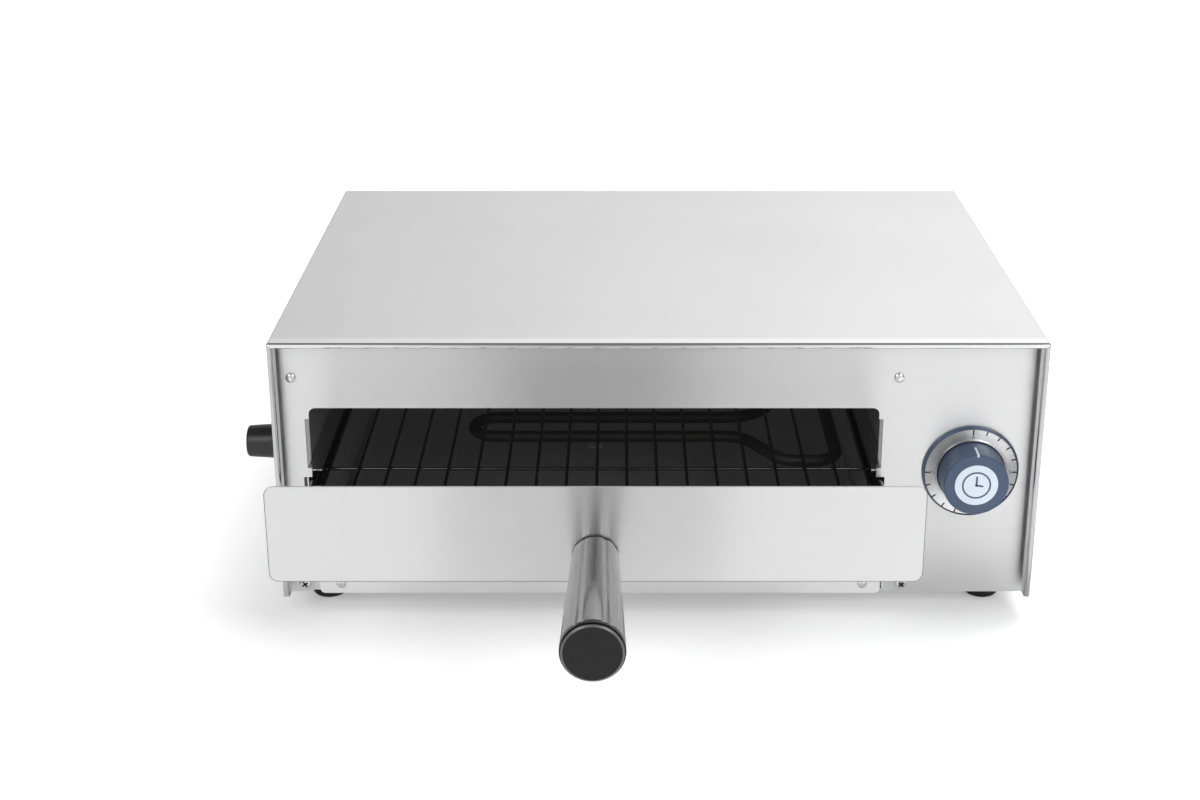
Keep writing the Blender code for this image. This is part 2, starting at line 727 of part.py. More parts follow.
def screw(name, location, rotation, length, parent):
    """A pan-head screw with a cross recess, its head above local Z = 0 and its shank below."""
    head = SCREW_HEAD_HEIGHT
    profile = [
        (0, head),
        (SCREW_HEAD_RADIUS * 0.55, head),
        (SCREW_HEAD_RADIUS * 0.85, head * 0.82),
        (SCREW_HEAD_RADIUS, head * 0.5),
        (SCREW_HEAD_RADIUS, GAP),
        (SCREW_SHANK, GAP),
        (SCREW_SHANK, -length + 0.001),
        (0, -length),
    ]
    made = turned(name, profile, "polished_steel", parent, location, rotation, segments=12)
    halves = (RECESS_HALF_LENGTH, RECESS_HALF_WIDTH)
    for index, (u, v) in enumerate((halves, halves[::-1])):
        bm = bmesh.new()
        add_box(bm, (-u, -v, head - RECESS_DEPTH), (u, v, head + 0.001))
        label = f"{name}_recess_{index}"
        tool = place(label, to_mesh(label, bm), "polished_steel", parent, location, rotation)
        boolean(made, tool, "DIFFERENCE")


def casing_fasteners(oven):
    sides = ("left", "right")
    for side, x in zip(sides, PANEL_RIVET_X):
        rivet(f"panel_rivet_{side}", x, PANEL_RIVET_Z, SHEET + GAP + THIN_SHEET, oven)
    for side, x in zip(sides, PANEL_SCREW_X):
        screw(f"panel_screw_{side}", (x, PANEL_FRONT, PANEL_SCREW_Z), FACES_FRONT, 0.006, oven)
    for level, height in zip(("lower", "upper"), BACK_SCREW_Z):
        for side, x in zip(sides, (-BACK_SCREW_X, BACK_SCREW_X)):
            location = (x, BACK_PANEL_Y + SHEET, height)
            screw(f"back_screw_{level}_{side}", location, FACES_BACK, 0.006, oven)


def feet(oven):
    """Rubber feet, each with its screw up through the base."""
    top = BASE_TOP - SHEET - GAP
    foot = (
        (0.0022, 0.0060),
        (0.0048, 0.0060),
        (0.0048, 0.0),
        (FOOT_RADIUS - 0.0022, 0.0),
        (FOOT_RADIUS - 0.0010, 0.0012),
        (FOOT_RADIUS, top),
        (0.0022, top),
    )
    fixing = (
        (0, 0.0030),
        (0.0042, 0.0030),
        (0.0042, 0.0057),
        (SCREW_SHANK, 0.0057),
        (SCREW_SHANK, BASE_TOP + GAP),
        (0, BASE_TOP + GAP),
    )
    for side, x in (("left", -FOOT_X), ("right", FOOT_X)):
        for end, y in zip(("front", "back"), FOOT_Y):
            location = (x, y, 0)
            turned(f"foot_{end}_{side}", foot, "rubber", oven, location, segments=16, ring=True)
            turned(f"foot_screw_{end}_{side}", fixing, "polished_steel", oven, location, segments=12)


def timer(oven):
    """The timer behind the panel with its bezel and dial ring, and the knob on its shaft."""
    behind = BEHIND_PANEL
    body = box(
        "timer_body",
        (DIAL_X - TIMER_HALF_WIDTH, behind + 0.0012, DIAL_Z - TIMER_HALF_HEIGHT),
        (DIAL_X + TIMER_HALF_WIDTH, behind + TIMER_DEPTH, DIAL_Z + TIMER_HALF_HEIGHT),
        "black_plastic",
        oven,
    )
    bush = ((DIAL_X - 0.010, behind, DIAL_Z - 0.010), (DIAL_X + 0.010, behind + 0.003, DIAL_Z + 0.010))
    join_boxes(body, "timer_plinth", [bush])
    drill(body, "timer_bore", [(DIAL_X, DIAL_Z)], SHAFT_RADIUS + GAP, behind - 0.002, behind + 0.0175)
    seat = (DIAL_X, PANEL_FRONT, DIAL_Z)
    bezel = (
        (DIAL_HOLE_RADIUS, GAP),
        (DIAL_HOLE_RADIUS, 0.0020),
        (DIAL_RING_RADIUS + GAP, 0.0020),
        (DIAL_RING_RADIUS + GAP, 0.0036),
        (0.0290, 0.0038),
        (BEZEL_RADIUS, 0.0012),
        (BEZEL_RADIUS, GAP),
    )
    turned("timer_bezel", bezel, "slate_plastic", oven, seat, FACES_FRONT, segments=32, ring=True)
    dial = (
        (0.0209, 0.0023),
        (0.0209, 0.0038),
        (0.0216, 0.0038),
        (0.0219, 0.0031),
        (DIAL_RING_RADIUS, 0.0031),
        (DIAL_RING_RADIUS, 0.0023),
    )
    turned("dial_ring", dial, "brushed_steel", oven, seat, FACES_FRONT, segments=32, ring=True)
    axis = empty("timer_axis", oven, seat)
    reach = PANEL_FRONT - KNOB_FRONT_Y
    knob = (
        (0, reach),
        (KNOB_FRONT_RADIUS - 0.0012, reach),
        (KNOB_FRONT_RADIUS, reach - 0.0012),
        (KNOB_BASE_RADIUS, 0.0045),
        (KNOB_BASE_RADIUS, 0.0024),
        (SHAFT_RADIUS + GAP, 0.0024),
        (SHAFT_RADIUS + GAP, 0.0150),
        (0, 0.0150),
    )
    turned("timer_knob", knob, "slate_plastic", axis, (0, 0, 0), FACES_FRONT, segments=32)
    shaft = ((0, 0.0146), (SHAFT_RADIUS, 0.0146), (SHAFT_RADIUS, -0.0180), (0, -0.0180))
    turned("timer_shaft", shaft, "brass", axis, (0, 0, 0), FACES_FRONT, segments=16)


def selector(oven):
    """The selector switch inside the cover's left side, and its knob outside."""
    inner = -HALF_WIDTH + SHEET + GAP
    body = box(
        "selector_body",
        (inner, BEHIND_PANEL + GAP, SELECTOR_Z - 0.012),
        (inner + 0.0120, SELECTOR_Y + 0.0085, SELECTOR_Z + 0.012),
        "black_plastic",
        oven,
    )
    centre = (inner, SELECTOR_Y, SELECTOR_Z)
    bore_sideways(body, "selector_bore", centre, SELECTOR_STEM_RADIUS + GAP, 0.014)
    axis = empty("selector_axis", oven, (-HALF_WIDTH, SELECTOR_Y, SELECTOR_Z))
    end = SELECTOR_REACH
    radius = SELECTOR_RADIUS
    knob = (
        (0, end),
        (radius - 0.0032, end),
        (radius - 0.0018, end - 0.0006),
        (radius - 0.0011, end - 0.0020),
        (radius, GAP + 0.0010),
        (radius - 0.0005, GAP),
        (SELECTOR_STEM_RADIUS, GAP),
        (SELECTOR_STEM_RADIUS, -SELECTOR_STEM_DEPTH),
        (0, -SELECTOR_STEM_DEPTH),
    )
    turned("selector_knob", knob, "black_plastic", axis, (0, 0, 0), FACES_LEFT, segments=28)


def electrics(oven):
    """Cable gland, terminal block, thermal cut-out and the wires between them."""
    gland = (
        (GLAND_BORE, -0.0100),
        (GLAND_BORE, GLAND_REACH),
        (0.0062, GLAND_REACH),
        (0.0085, 0.0060),
        (GLAND_RADIUS, 0.0045),
        (GLAND_RADIUS, GAP),
        (0.0077, GAP),
        (0.0077, -0.0100),
    )
    behind = (GLAND_X, BACK_PANEL_Y + SHEET, GLAND_Z)
    turned("cable_gland", gland, "black_plastic", oven, behind, FACES_BACK, segments=20, ring=True)
    block = box(
        "terminal_block",
        (*TERMINAL_LOW, BASE_TOP + GAP),
        (*TERMINAL_HIGH, BASE_TOP + TERMINAL_HEIGHT),
        "ceramic",
        oven,
    )
    middles = [TERMINAL_LOW[0] + TERMINAL_PITCH * count for count in (1, 2, 3)]
    grooves = [((x - 0.001, 0.2500, 0.0260), (x + 0.001, 0.2800, 0.0330)) for x in middles]
    cut_boxes(block, "terminal_grooves", grooves)
    wall = CHAMBER_MIDDLE + CHAMBER_HALF + THIN_SHEET + GAP
    cutout = ((0, 0.0055), (0.0052, 0.0055), (0.0058, 0.0030), (0.0080, 0.0030), (0.0080, 0), (0, 0))
    turned(
        "thermal_cutout",
        cutout,
        "ceramic",
        oven,
        (wall, 0.100, 0.120),
        (0, math.pi / 2, 0),
        segments=16,
    )


def wires(oven):
    """Heat-proof wires: supply to the timer, timer to the selector, and timer to the elements."""
    timer_back = BEHIND_PANEL + TIMER_DEPTH + 2 * GAP
    supply = [
        ((0.2050, 0.2545, 0.0260), 0),
        ((0.2050, 0.2200, 0.0260), 0.012),
        ((SUPPLY_X, 0.1000, 0.0500), 0.012),
        ((SUPPLY_X, timer_back + 0.020, 0.0850), 0.010),
        ((SUPPLY_X, timer_back, 0.0850), 0),
    ]
    tube("supply_wire", filleted(supply, 3), WIRE_SLEEVE_RADIUS, "wire_sleeve", oven)
    left = -0.2243
    crossing = [
        ((left, SELECTOR_Y, SELECTOR_Z + 0.0125), 0),
        ((left, SELECTOR_Y, 0.1400), 0.010),
        ((left, CROSSING_Y, CROSSING_Z), 0.010),
        ((DIAL_X, CROSSING_Y, CROSSING_Z), 0.014),
        ((DIAL_X, CROSSING_Y + 0.022, 0.1120), 0.008),
        ((DIAL_X, timer_back, 0.1120), 0),
    ]
    tube("selector_wire", filleted(crossing, 3), WIRE_SLEEVE_RADIUS, "wire_sleeve", oven)
    for level, height, column in (("lower", LOWER_HEATER_Z, 0.1760), ("upper", UPPER_HEATER_Z, 0.1840)):
        feed = [
            ((column, timer_back, 0.0900), 0),
            ((column, timer_back + 0.025, 0.0900), 0.010),
            ((column, 0.2000, height), 0.015),
            ((column, HEATER_TAIL_Y, height), 0.006),
            ((HEATER_TAIL_X[1] + 0.0080, HEATER_TAIL_Y, height), 0),
        ]
        tube(f"{level}_heater_wire", filleted(feed, 3), WIRE_SLEEVE_RADIUS, "wire_sleeve", oven)


def rod_bodies(bm, start, end, radius, sides):
    made = bmesh.ops.create_cone(
        bm, cap_ends=True, segments=sides, radius1=radius, radius2=radius, depth=(end - start).length
    )["verts"]
    turn = Vector((0, 0, 1)).rotation_difference(end - start).to_matrix()
    bmesh.ops.rotate(bm, verts=made, cent=(0, 0, 0), matrix=turn)
    bmesh.ops.translate(bm, verts=made, vec=(start + end) / 2)


def rod_x(index):
    return CHAMBER_MIDDLE - RACK_HALF + 2 * RACK_HALF * index / (WIRE_COUNT - 1)


def wire_rack(parent):
    """Rods from front to back on three cross wires, between two thicker side rods that run in the rails."""
    bm = bmesh.new()
    for index in range(WIRE_COUNT):
        x = rod_x(index)
        rod_bodies(bm, Vector((x, RACK_START, RACK_Z)), Vector((x, RACK_END, RACK_Z)), WIRE_RADIUS, 6)
    for side in (-1, 1):
        x = CHAMBER_MIDDLE + side * SIDE_ROD_HALF
        rod_bodies(bm, Vector((x, RACK_START, RACK_Z)), Vector((x, RACK_END, RACK_Z)), SIDE_ROD_RADIUS, 8)
    rack = place("wire_rack", to_mesh("wire_rack", bm), "rack_wire", parent)
    bm = bmesh.new()
    height = RACK_Z - CROSS_WIRE_DROP
    for y in CROSS_WIRE_Y:
        start = Vector((CHAMBER_MIDDLE - CROSS_WIRE_HALF, y, height))
        end = Vector((CHAMBER_MIDDLE + CROSS_WIRE_HALF, y, height))
        rod_bodies(bm, start, end, WIRE_RADIUS, 8)
    cross = place("rack_cross_wires", to_mesh("rack_cross_wires", bm), "rack_wire", parent)
    boolean(rack, cross, "UNION")


def rack_clips(parent):
    """Two hooks on the back of the door plate that hold the rack's front cross wire."""
    back = DOOR_BACK + GAP
    wall = THIN_SHEET
    foot = 0.0830
    roof = 0.0905
    lip = 0.0850
    reach = back + 0.0080
    outline = [
        (back, foot),
        (back + wall, foot),
        (back + wall, roof - wall),
        (reach - wall, roof - wall),
        (reach - wall, lip),
        (reach, lip),
        (reach, roof),
        (back, roof),
    ]
    for side, bay in zip(("left", "right"), CLIP_BAYS):
        name = f"rack_clip_{side}"
        x = rod_x(bay)
        mesh = sheet_mesh(name, [outline], CLIP_WIDTH)
        turn = (math.pi / 2, 0, math.pi / 2)
        place(name, mesh, "polished_steel", parent, (x - CLIP_WIDTH / 2, 0, 0), turn)


def handle(parent):
    """The tapered tube, the seat inside its root, the cap on its end and the bolt through it."""
    root = (HANDLE_X, DOOR_Y, HANDLE_Z)
    tube_end = HANDLE_LENGTH - CAP_LENGTH
    stem = (
        (HANDLE_BASE_RADIUS - HANDLE_WALL, GAP),
        (HANDLE_BASE_RADIUS, GAP),
        (HANDLE_END_RADIUS, tube_end),
        (HANDLE_END_RADIUS - HANDLE_WALL, tube_end),
    )
    turned("handle_tube", stem, "polished_steel", parent, root, FACES_FRONT, segments=32, ring=True)
    inside = HANDLE_BASE_RADIUS - HANDLE_WALL - GAP
    bore = BOLT_RADIUS + GAP
    seat = ((bore, GAP), (inside, GAP), (inside, 0.0060), (bore, 0.0060))
    turned("handle_seat", seat, "black_plastic", parent, root, FACES_FRONT, segments=20, ring=True)
    spigot = HANDLE_END_RADIUS - HANDLE_WALL - 0.0010
    edge = HANDLE_END_RADIUS
    cap = (
        (0, HANDLE_LENGTH),
        (CAP_FACE_RADIUS, HANDLE_LENGTH),
        (edge - 0.0006, HANDLE_LENGTH - 0.0008),
        (edge, HANDLE_LENGTH - 0.0020),
        (edge, tube_end + GAP),
        (spigot, tube_end + GAP),
        (spigot, tube_end - 0.0100),
        (bore, tube_end - 0.0100),
        (bore, tube_end + 0.0020),
        (0, tube_end + 0.0020),
    )
    turned("handle_cap", cap, "black_plastic", parent, root, FACES_FRONT, segments=32)
    behind = -DOOR_THICK - GAP
    bolt = (
        (0, tube_end + 0.0012),
        (BOLT_RADIUS, tube_end + 0.0012),
        (BOLT_RADIUS, behind),
        (0.0055, behind),
        (0.0055, behind - 0.0032),
        (0, behind - 0.0032),
    )
    turned("handle_bolt", bolt, "polished_steel", parent, root, FACES_FRONT, segments=12)


def rack(oven):
    slide = empty("rack_slide", oven)
    outline = rounded_rectangle(DOOR_LEFT, DOOR_RIGHT, DOOR_BOTTOM, DOOR_TOP, DOOR_RADIUS)
    hole = circle((HANDLE_X, HANDLE_Z), BOLT_RADIUS + GAP, 12)
    upright_sheet("door_plate", [outline, hole], DOOR_Y, DOOR_THICK, "brushed_steel", slide)
    wire_rack(slide)
    rack_clips(slide)
    handle(slide)


def crumb_tray(oven):
    """The tray's front strip, the pan behind it and the rivets that join them."""
    slide = empty("tray_slide", oven)
    outline = arc((TRAY_LEFT + TRAY_RADIUS, TRAY_FRONT_BOTTOM + TRAY_RADIUS), TRAY_RADIUS, 180, 270)
    outline += arc((TRAY_RIGHT - TRAY_RADIUS, TRAY_FRONT_BOTTOM + TRAY_RADIUS), TRAY_RADIUS, 270, 360)
    outline += [(TRAY_RIGHT, TRAY_FRONT_TOP), (TRAY_LEFT, TRAY_FRONT_TOP)]
    rivets = [(x, TRAY_RIVET_Z) for x in TRAY_RIVET_X]
    loops = [outline] + [circle(centre, RIVET_SHANK + GAP) for centre in rivets]
    upright_sheet("tray_front", loops, PANEL_FRONT, SHEET, "brushed_steel", slide)
    pan = box(
        "tray_pan",
        (PAN_LEFT, BEHIND_PANEL, PAN_BOTTOM),
        (PAN_RIGHT, PAN_BACK, PAN_TOP),
        "inner_steel",
        slide,
    )
    wall = THIN_SHEET
    inside = (
        (PAN_LEFT + wall, BEHIND_PANEL + wall, PAN_BOTTOM + wall),
        (PAN_RIGHT - wall, PAN_BACK - wall, PAN_TOP + 0.002),
    )
    cut_boxes(pan, "tray_pan_hollow", [inside])
    drill(pan, "tray_pan_holes", rivets, RIVET_SHANK + GAP, PANEL_FRONT, BEHIND_PANEL + 0.003)
    for side, x in zip(("left", "right"), TRAY_RIVET_X):
        rivet(f"tray_rivet_{side}", x, TRAY_RIVET_Z, SHEET + GAP + wall, slide)


def main():
    clear_scene()
    left = -HALF_WIDTH - SELECTOR_REACH
    front = DOOR_Y - HANDLE_LENGTH
    back = BACK_PANEL_Y + SHEET + GLAND_REACH
    oven = empty("oven", None, (-(left + HALF_WIDTH) / 2, -(front + back) / 2, 0))
    cover_shell(oven)
    front_panel(oven)
    back_panel(oven)
    base_plate(oven)
    chamber(oven)
    heat_shield(oven)
    rails(oven)
    heaters(oven)
    casing_fasteners(oven)
    feet(oven)
    timer(oven)
    selector(oven)
    electrics(oven)
    wires(oven)
    rack(oven)
    crumb_tray(oven)


main()
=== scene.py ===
"""Looks of the countertop pizza oven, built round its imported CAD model.

Lengths are in metres. Pieces are drawn about the oven's casing (X = 0 is the middle of the cover,
Y = 0 its front edge, Z = 0 the floor) and moved into the frame by at().
"""

import math

import bmesh
import bpy
from mathutils import Matrix, Vector


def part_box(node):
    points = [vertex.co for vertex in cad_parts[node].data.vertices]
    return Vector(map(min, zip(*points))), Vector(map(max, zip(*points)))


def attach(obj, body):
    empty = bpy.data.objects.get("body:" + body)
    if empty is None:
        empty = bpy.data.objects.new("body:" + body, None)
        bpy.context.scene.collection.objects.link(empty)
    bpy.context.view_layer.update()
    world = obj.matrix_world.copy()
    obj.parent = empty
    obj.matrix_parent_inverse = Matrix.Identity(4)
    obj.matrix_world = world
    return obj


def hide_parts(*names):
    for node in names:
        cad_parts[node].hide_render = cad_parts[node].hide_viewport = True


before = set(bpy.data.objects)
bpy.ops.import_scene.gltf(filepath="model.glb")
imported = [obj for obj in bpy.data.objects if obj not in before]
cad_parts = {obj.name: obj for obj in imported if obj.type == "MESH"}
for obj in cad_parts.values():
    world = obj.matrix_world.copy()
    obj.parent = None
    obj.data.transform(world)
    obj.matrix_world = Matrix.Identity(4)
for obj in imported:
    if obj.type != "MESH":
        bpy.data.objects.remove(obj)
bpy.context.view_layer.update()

COVER_LOW, COVER_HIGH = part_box("cover_shell")
SHIFT = Vector(((COVER_LOW.x + COVER_HIGH.x) / 2, COVER_LOW.y, 0))

# Sizes of the detailed pieces, which follow the CAD model
SHEET = 0.001
GAP = 0.0003
HALF_WIDTH = (COVER_HIGH.x - COVER_LOW.x) / 2
DEPTH = COVER_HIGH.y - COVER_LOW.y
HEIGHT = COVER_HIGH.z
COVER_BOTTOM = COVER_LOW.z
HEM = 0.0037
HEM_RETURN = 0.0095
COVER_RADIUS = 0.0016
INNER_HALF = HALF_WIDTH - SHEET - GAP
PANEL_FRONT = 0.0155
PANEL_BOTTOM = 0.012
PANEL_TOP = HEIGHT - SHEET - GAP
PANEL_CORNER = 0.0040
OPENING = (-0.2124, 0.1351, 0.0820, 0.1373)  # left, right, bottom, top
NOTCHES = (-0.2176, 0.1403, 0.0913)  # left, right, top
FLANGE_SPAN = (0.0973, 0.1300)  # bottom, top
FLANGE_DEPTH = 0.0127
FLANGE_RELIEF = 0.0024
BEND = 0.0004
TRAY_SLOT = (-0.2158, 0.1416, 0.0305)  # left, right, top
TRAY_FACE = (-0.2118, 0.1410, 0.0109, 0.0300)  # left, right, bottom, top
TRAY_CORNER = 0.0030
RIVETS = ((-0.2219, 0.1572), (0.1460, 0.1572))
SCREWS = ((-0.2209, 0.0182), (0.1540, 0.0182))
TRAY_RIVETS = ((-0.1986, 0.0177), (0.1298, 0.0177))
RIVET_HOLE = 0.0018
SCREW_HOLE = 0.0020
REAR_SCREW_X = 0.2150
REAR_SCREW_Z = {"lower": 0.0200, "upper": 0.1765}
REAR_FACE = 0.3295
DIAL = (0.1926, 0.0960)
DOOR_FRONT = -0.098
DOOR_THICK = 0.0012
DOOR = (-0.2190, 0.1466, 0.0796, 0.1380)  # left, right, bottom, top
DOOR_CORNER = 0.0055
DOOR_BOLT_HOLE = 0.0033
# Width of the painted shade band along the door front's sides and bottom.
DOOR_SHADE_BAND = 0.00045
HANDLE = (-0.0365, 0.0954)
HANDLE_LENGTH = 0.1055
HANDLE_RADII = (0.0132, 0.0171)  # at the door, at the cap
HANDLE_WALL = 0.0012
CAP_LENGTH = 0.0046
CAP_FACE = 0.0153
CAP_RIM = 0.0163
DIAL_HOLE = 0.0060
RING_RADIUS = 0.0283
RING_FACE = 0.0031
TICKS = 16
TICK_STEP = 18
TICK_HALF_WIDTH = 0.00044
NUMBER_SIZE = 0.0032
KNOB_REACH = PANEL_FRONT + 0.0065
HAND_WIDTH = 0.0011
SELECTOR_SEAT = (0.0252, 0.1115)
SELECTOR_HOLE = 0.0042
CHAMBER_MIDDLE = -0.03725
RACK_Z = 0.0885
RACK_ENDS = (-0.0950, 0.1850)
RODS = 19
ROD_RADIUS = 0.0010
ROD_SPREAD = 0.16755
SIDE_ROD_RADIUS = 0.0018
SIDE_ROD_SPREAD = 0.1746
CROSS_WIRE_SPREAD = 0.1741
CROSS_WIRE_DROP = 0.0016
CROSS_WIRES = (-0.0925, 0.0375, 0.1675)
FLAG_HEIGHT = 0.001
LIT_POINT = Vector((0, 0, 0.1))
END_DOME = 0.6  # how far a wire's end bulges, for its radius
HEATER_RADIUS = 0.0040
HEATER_Z = {"lower": 0.0650, "upper": 0.1520}


def at(x, y, z):
    return SHIFT + Vector((x, y, z))


# ---- materials


def socket(tree, kind, values=None, **settings):
    """Makes a node, sets or links its inputs and returns it."""
    made = tree.nodes.new("ShaderNode" + kind)
    for key, value in settings.items():
        setattr(made, key, value)
    for key, value in (values or {}).items():
        if isinstance(value, bpy.types.NodeSocket):
            tree.links.new(value, made.inputs[key])
        else:
            made.inputs[key].default_value = value
    return made


def start_material(name, **constants):
    material = bpy.data.materials.new(name)
    material.use_nodes = True
    tree = material.node_tree
    shader = tree.nodes["Principled BSDF"]
    for key, value in constants.items():
        shader.inputs[key.replace("_", " ")].default_value = value
    return material, tree, shader


def triple(value):
    """A number stands for three equal ones: a grey, or a texture that is the same along every axis."""
    return (value,) * 3 if isinstance(value, (int, float)) else value


def calculate(tree, operation, *values):
    return socket(tree, "Math", dict(enumerate(values)), operation=operation).outputs[0]


def scaled_position(tree, scale):
    position = socket(tree, "TexCoord").outputs["Object"]
    return socket(tree, "Mapping", {"Vector": position, "Scale": triple(scale)}).outputs[0]


def noise(tree, vector, scale=1.0, detail=2.0, roughness=0.5):
    values = {"Vector": vector, "Scale": scale, "Detail": detail, "Roughness": roughness}
    return socket(tree, "TexNoise", values).outputs["Fac"]


def ramp(tree, factor, low, high, start=0.3, end=0.7):
    """Maps a factor between start and end to a range of numbers."""
    values = {"Value": factor, "From Min": start, "From Max": end, "To Min": low, "To Max": high}
    return socket(tree, "MapRange", values).outputs[0]


def blend_colours(tree, factor, first, second):
    made = tree.nodes.new("ShaderNodeMix")
    made.data_type = "RGBA"
    tree.links.new(factor, made.inputs[0])
    made.inputs[6].default_value = (*triple(first), 1)
    made.inputs[7].default_value = (*triple(second), 1)
    return made.outputs[2]


def connect(tree, shader, **sources):
    for key, source in sources.items():
        tree.links.new(source, shader.inputs[key.replace("_", " ")])


def bump(tree, shader, height, strength, distance):
    values = {"Height": height, "Strength": strength, "Distance": distance}
    connect(tree, shader, Normal=socket(tree, "Bump", values).outputs[0])


def brushed(
    name, grain, tangent, rough=0.30, anisotropic=0.75, light=0.78, streak=0.03, relief=0.04, uneven=0.02
):
    """Brushed stainless steel. The grain is long on one axis, and tangent points across it."""
    material, tree, shader = start_material(name, Metallic=1.0, Anisotropic=anisotropic)
    fine = noise(tree, scaled_position(tree, grain), detail=4.0, roughness=0.65)
    wide = noise(tree, scaled_position(tree, [g * 0.25 for g in grain]), detail=3.0)
    cloud = noise(tree, scaled_position(tree, 9))
    pale = (light + streak, light + streak, light + streak * 0.9)
    colour = blend_colours(tree, ramp(tree, fine, 0, 1), light - streak, pale)
    bands = ramp(tree, wide, rough - uneven, rough + uneven)
    spread = calculate(tree, "ADD", bands, ramp(tree, cloud, -0.01, 0.01))
    connect(tree, shader, Base_Color=colour, Roughness=spread, Tangent=tangent(tree))
    bump(tree, shader, fine, relief, 0.0002)
    return material


def glow_in_reflections(material, strength, middle, reach):
    """Painted light: a glow that shows only in the face's neighbours' reflections, left out near the X of middle as
    painted shade.
    """
    tree = material.node_tree
    shader = tree.nodes["Principled BSDF"]
    across = socket(tree, "SeparateXYZ", {0: socket(tree, "TexCoord").outputs["Object"]}).outputs["X"]
    aside = calculate(tree, "ABSOLUTE", calculate(tree, "SUBTRACT", across, middle))
    seen = socket(tree, "LightPath").outputs["Is Glossy Ray"]
    rise = ramp(tree, aside, 0.0, strength, 0.04, reach)
    shader.inputs["Emission Color"].default_value = (1, 1, 1, 1)
    connect(tree, shader, Emission_Strength=calculate(tree, "MULTIPLY", rise, seen))


def fixed_direction(vector):
    """The same direction everywhere."""

    def build(tree):
        return socket(tree, "CombineXYZ", dict(zip("XYZ", vector))).outputs[0]

    return build


def across_grain(grain):
    """Points along the surface, square to the direction that the steel was brushed in."""

    def build(tree):
        normal = socket(tree, "NewGeometry").outputs["Normal"]
        return socket(tree, "VectorMath", {0: normal, 1: grain}, operation="CROSS_PRODUCT").outputs[0]

    return build


def from_axis(centre):
    """Points straight away from an axis along Y through centre."""

    def build(tree):
        position = socket(tree, "TexCoord").outputs["Object"]
        away = socket(tree, "VectorMath", {0: position, 1: centre}, operation="SUBTRACT").outputs[0]
        flat = socket(tree, "VectorMath", {0: away, 1: (1, 0, 1)}, operation="MULTIPLY").outputs[0]
        return socket(tree, "VectorMath", {0: flat}, operation="NORMALIZE").outputs[0]

    return build


def turned_steel(name, centre, lean):
    """Steel turned about an axis along Y: its reflections open like two fans, leaning by an angle, and the same fans
    are painted into its colour as painted highlights.
    """
    material, tree, shader = start_material(name, Metallic=1.0, Roughness=0.34, Anisotropic=0.85)
    away = from_axis(centre)(tree)
    turn = math.radians(lean)
    towards = (math.sin(turn), 0, math.cos(turn))
    facing = socket(tree, "VectorMath", {0: away, 1: towards}, operation="DOT_PRODUCT").outputs["Value"]
    # Painted highlight: the colour is lighter where the radius lies along the lean, darker across it.
    painted_fan = ramp(tree, calculate(tree, "MULTIPLY", facing, facing), 0, 1, 0.35, 1.0)
    rings = noise(tree, scaled_position(tree, 700), detail=3.0)
    both = calculate(tree, "ADD", painted_fan, ramp(tree, rings, -0.08, 0.08))
    colour = blend_colours(tree, both, 0.42, 0.94)
    connect(tree, shader, Base_Color=colour, Tangent=away)
    return material


def polished(name, grain=400, rough=0.12, light=0.78, relief=0.05, uneven=0.04):
    """Bright steel with faint marks, which run along one axis when the grain is long on it."""
    material, tree, shader = start_material(name, Metallic=1.0)
    lines = noise(tree, scaled_position(tree, grain), detail=4.0)
    colour = blend_colours(tree, ramp(tree, lines, 0, 1), light - uneven, light + uneven)
    connect(tree, shader, Base_Color=colour, Roughness=ramp(tree, lines, rough - uneven, rough + uneven))
    if relief:
        bump(tree, shader, lines, relief, 0.0002)
    return material


def coated(name, dark, pale, rough, grain, strength, metallic=0.0, specular=0.5, distance=0.0002, glow=0.0):
    """Enamel, moulded plastic, rubber and the like: two near colours and a fine surface texture.

    A little glow stands for the light that a deep cavity scatters.
    """
    material, tree, shader = start_material(name, Metallic=metallic, Specular_IOR_Level=specular)
    shader.inputs["Emission Color"].default_value = (1, 1, 1, 1)
    shader.inputs["Emission Strength"].default_value = glow
    cloud = noise(tree, scaled_position(tree, 60), detail=3.0)
    fine = noise(tree, scaled_position(tree, grain))
    colour = blend_colours(tree, ramp(tree, cloud, 0, 1), dark, pale)
    connect(tree, shader, Base_Color=colour, Roughness=ramp(tree, cloud, rough - 0.04, rough + 0.04))
    bump(tree, shader, fine, strength, distance)
    return material


def woven(name):
    """The woven glass-fibre sleeve of a heat-proof wire."""
    material, tree, shader = start_material(name, Sheen_Weight=0.3, Roughness=0.8)
    place = scaled_position(tree, 1)
    values = {"Vector": place, "Scale": 420.0, "Distortion": 0.5}
    waves = [socket(tree, "TexWave", values, bands_direction=axis).outputs["Fac"] for axis in "XYZ"]
    weave = calculate(tree, "ADD", calculate(tree, "ADD", *waves[:2]), waves[2])
    colour = blend_colours(tree, ramp(tree, weave, 0, 1, 0.6, 2.2), (0.35, 0.31, 0.25), (0.66, 0.61, 0.52))
    connect(tree, shader, Base_Color=colour)
    bump(tree, shader, weave, 0.5, 0.0003)
    return material


UP = fixed_direction((0, 0, 1))
ACROSS_X = across_grain((1, 0, 0))
ACROSS_Z = across_grain((0, 0, 1))
STEEL_FRONT = brushed("steel_front", (24, 2600, 2600), UP, rough=0.33, anisotropic=0.84, streak=0.015, relief=0.008)
# The tray's strip: a paler steel than the panel, painted light for the shade it sits in below the door.
STEEL_TRAY = brushed("steel_tray", (24, 2600, 2600), UP, rough=0.46, light=0.99, streak=0.01, relief=0.01)
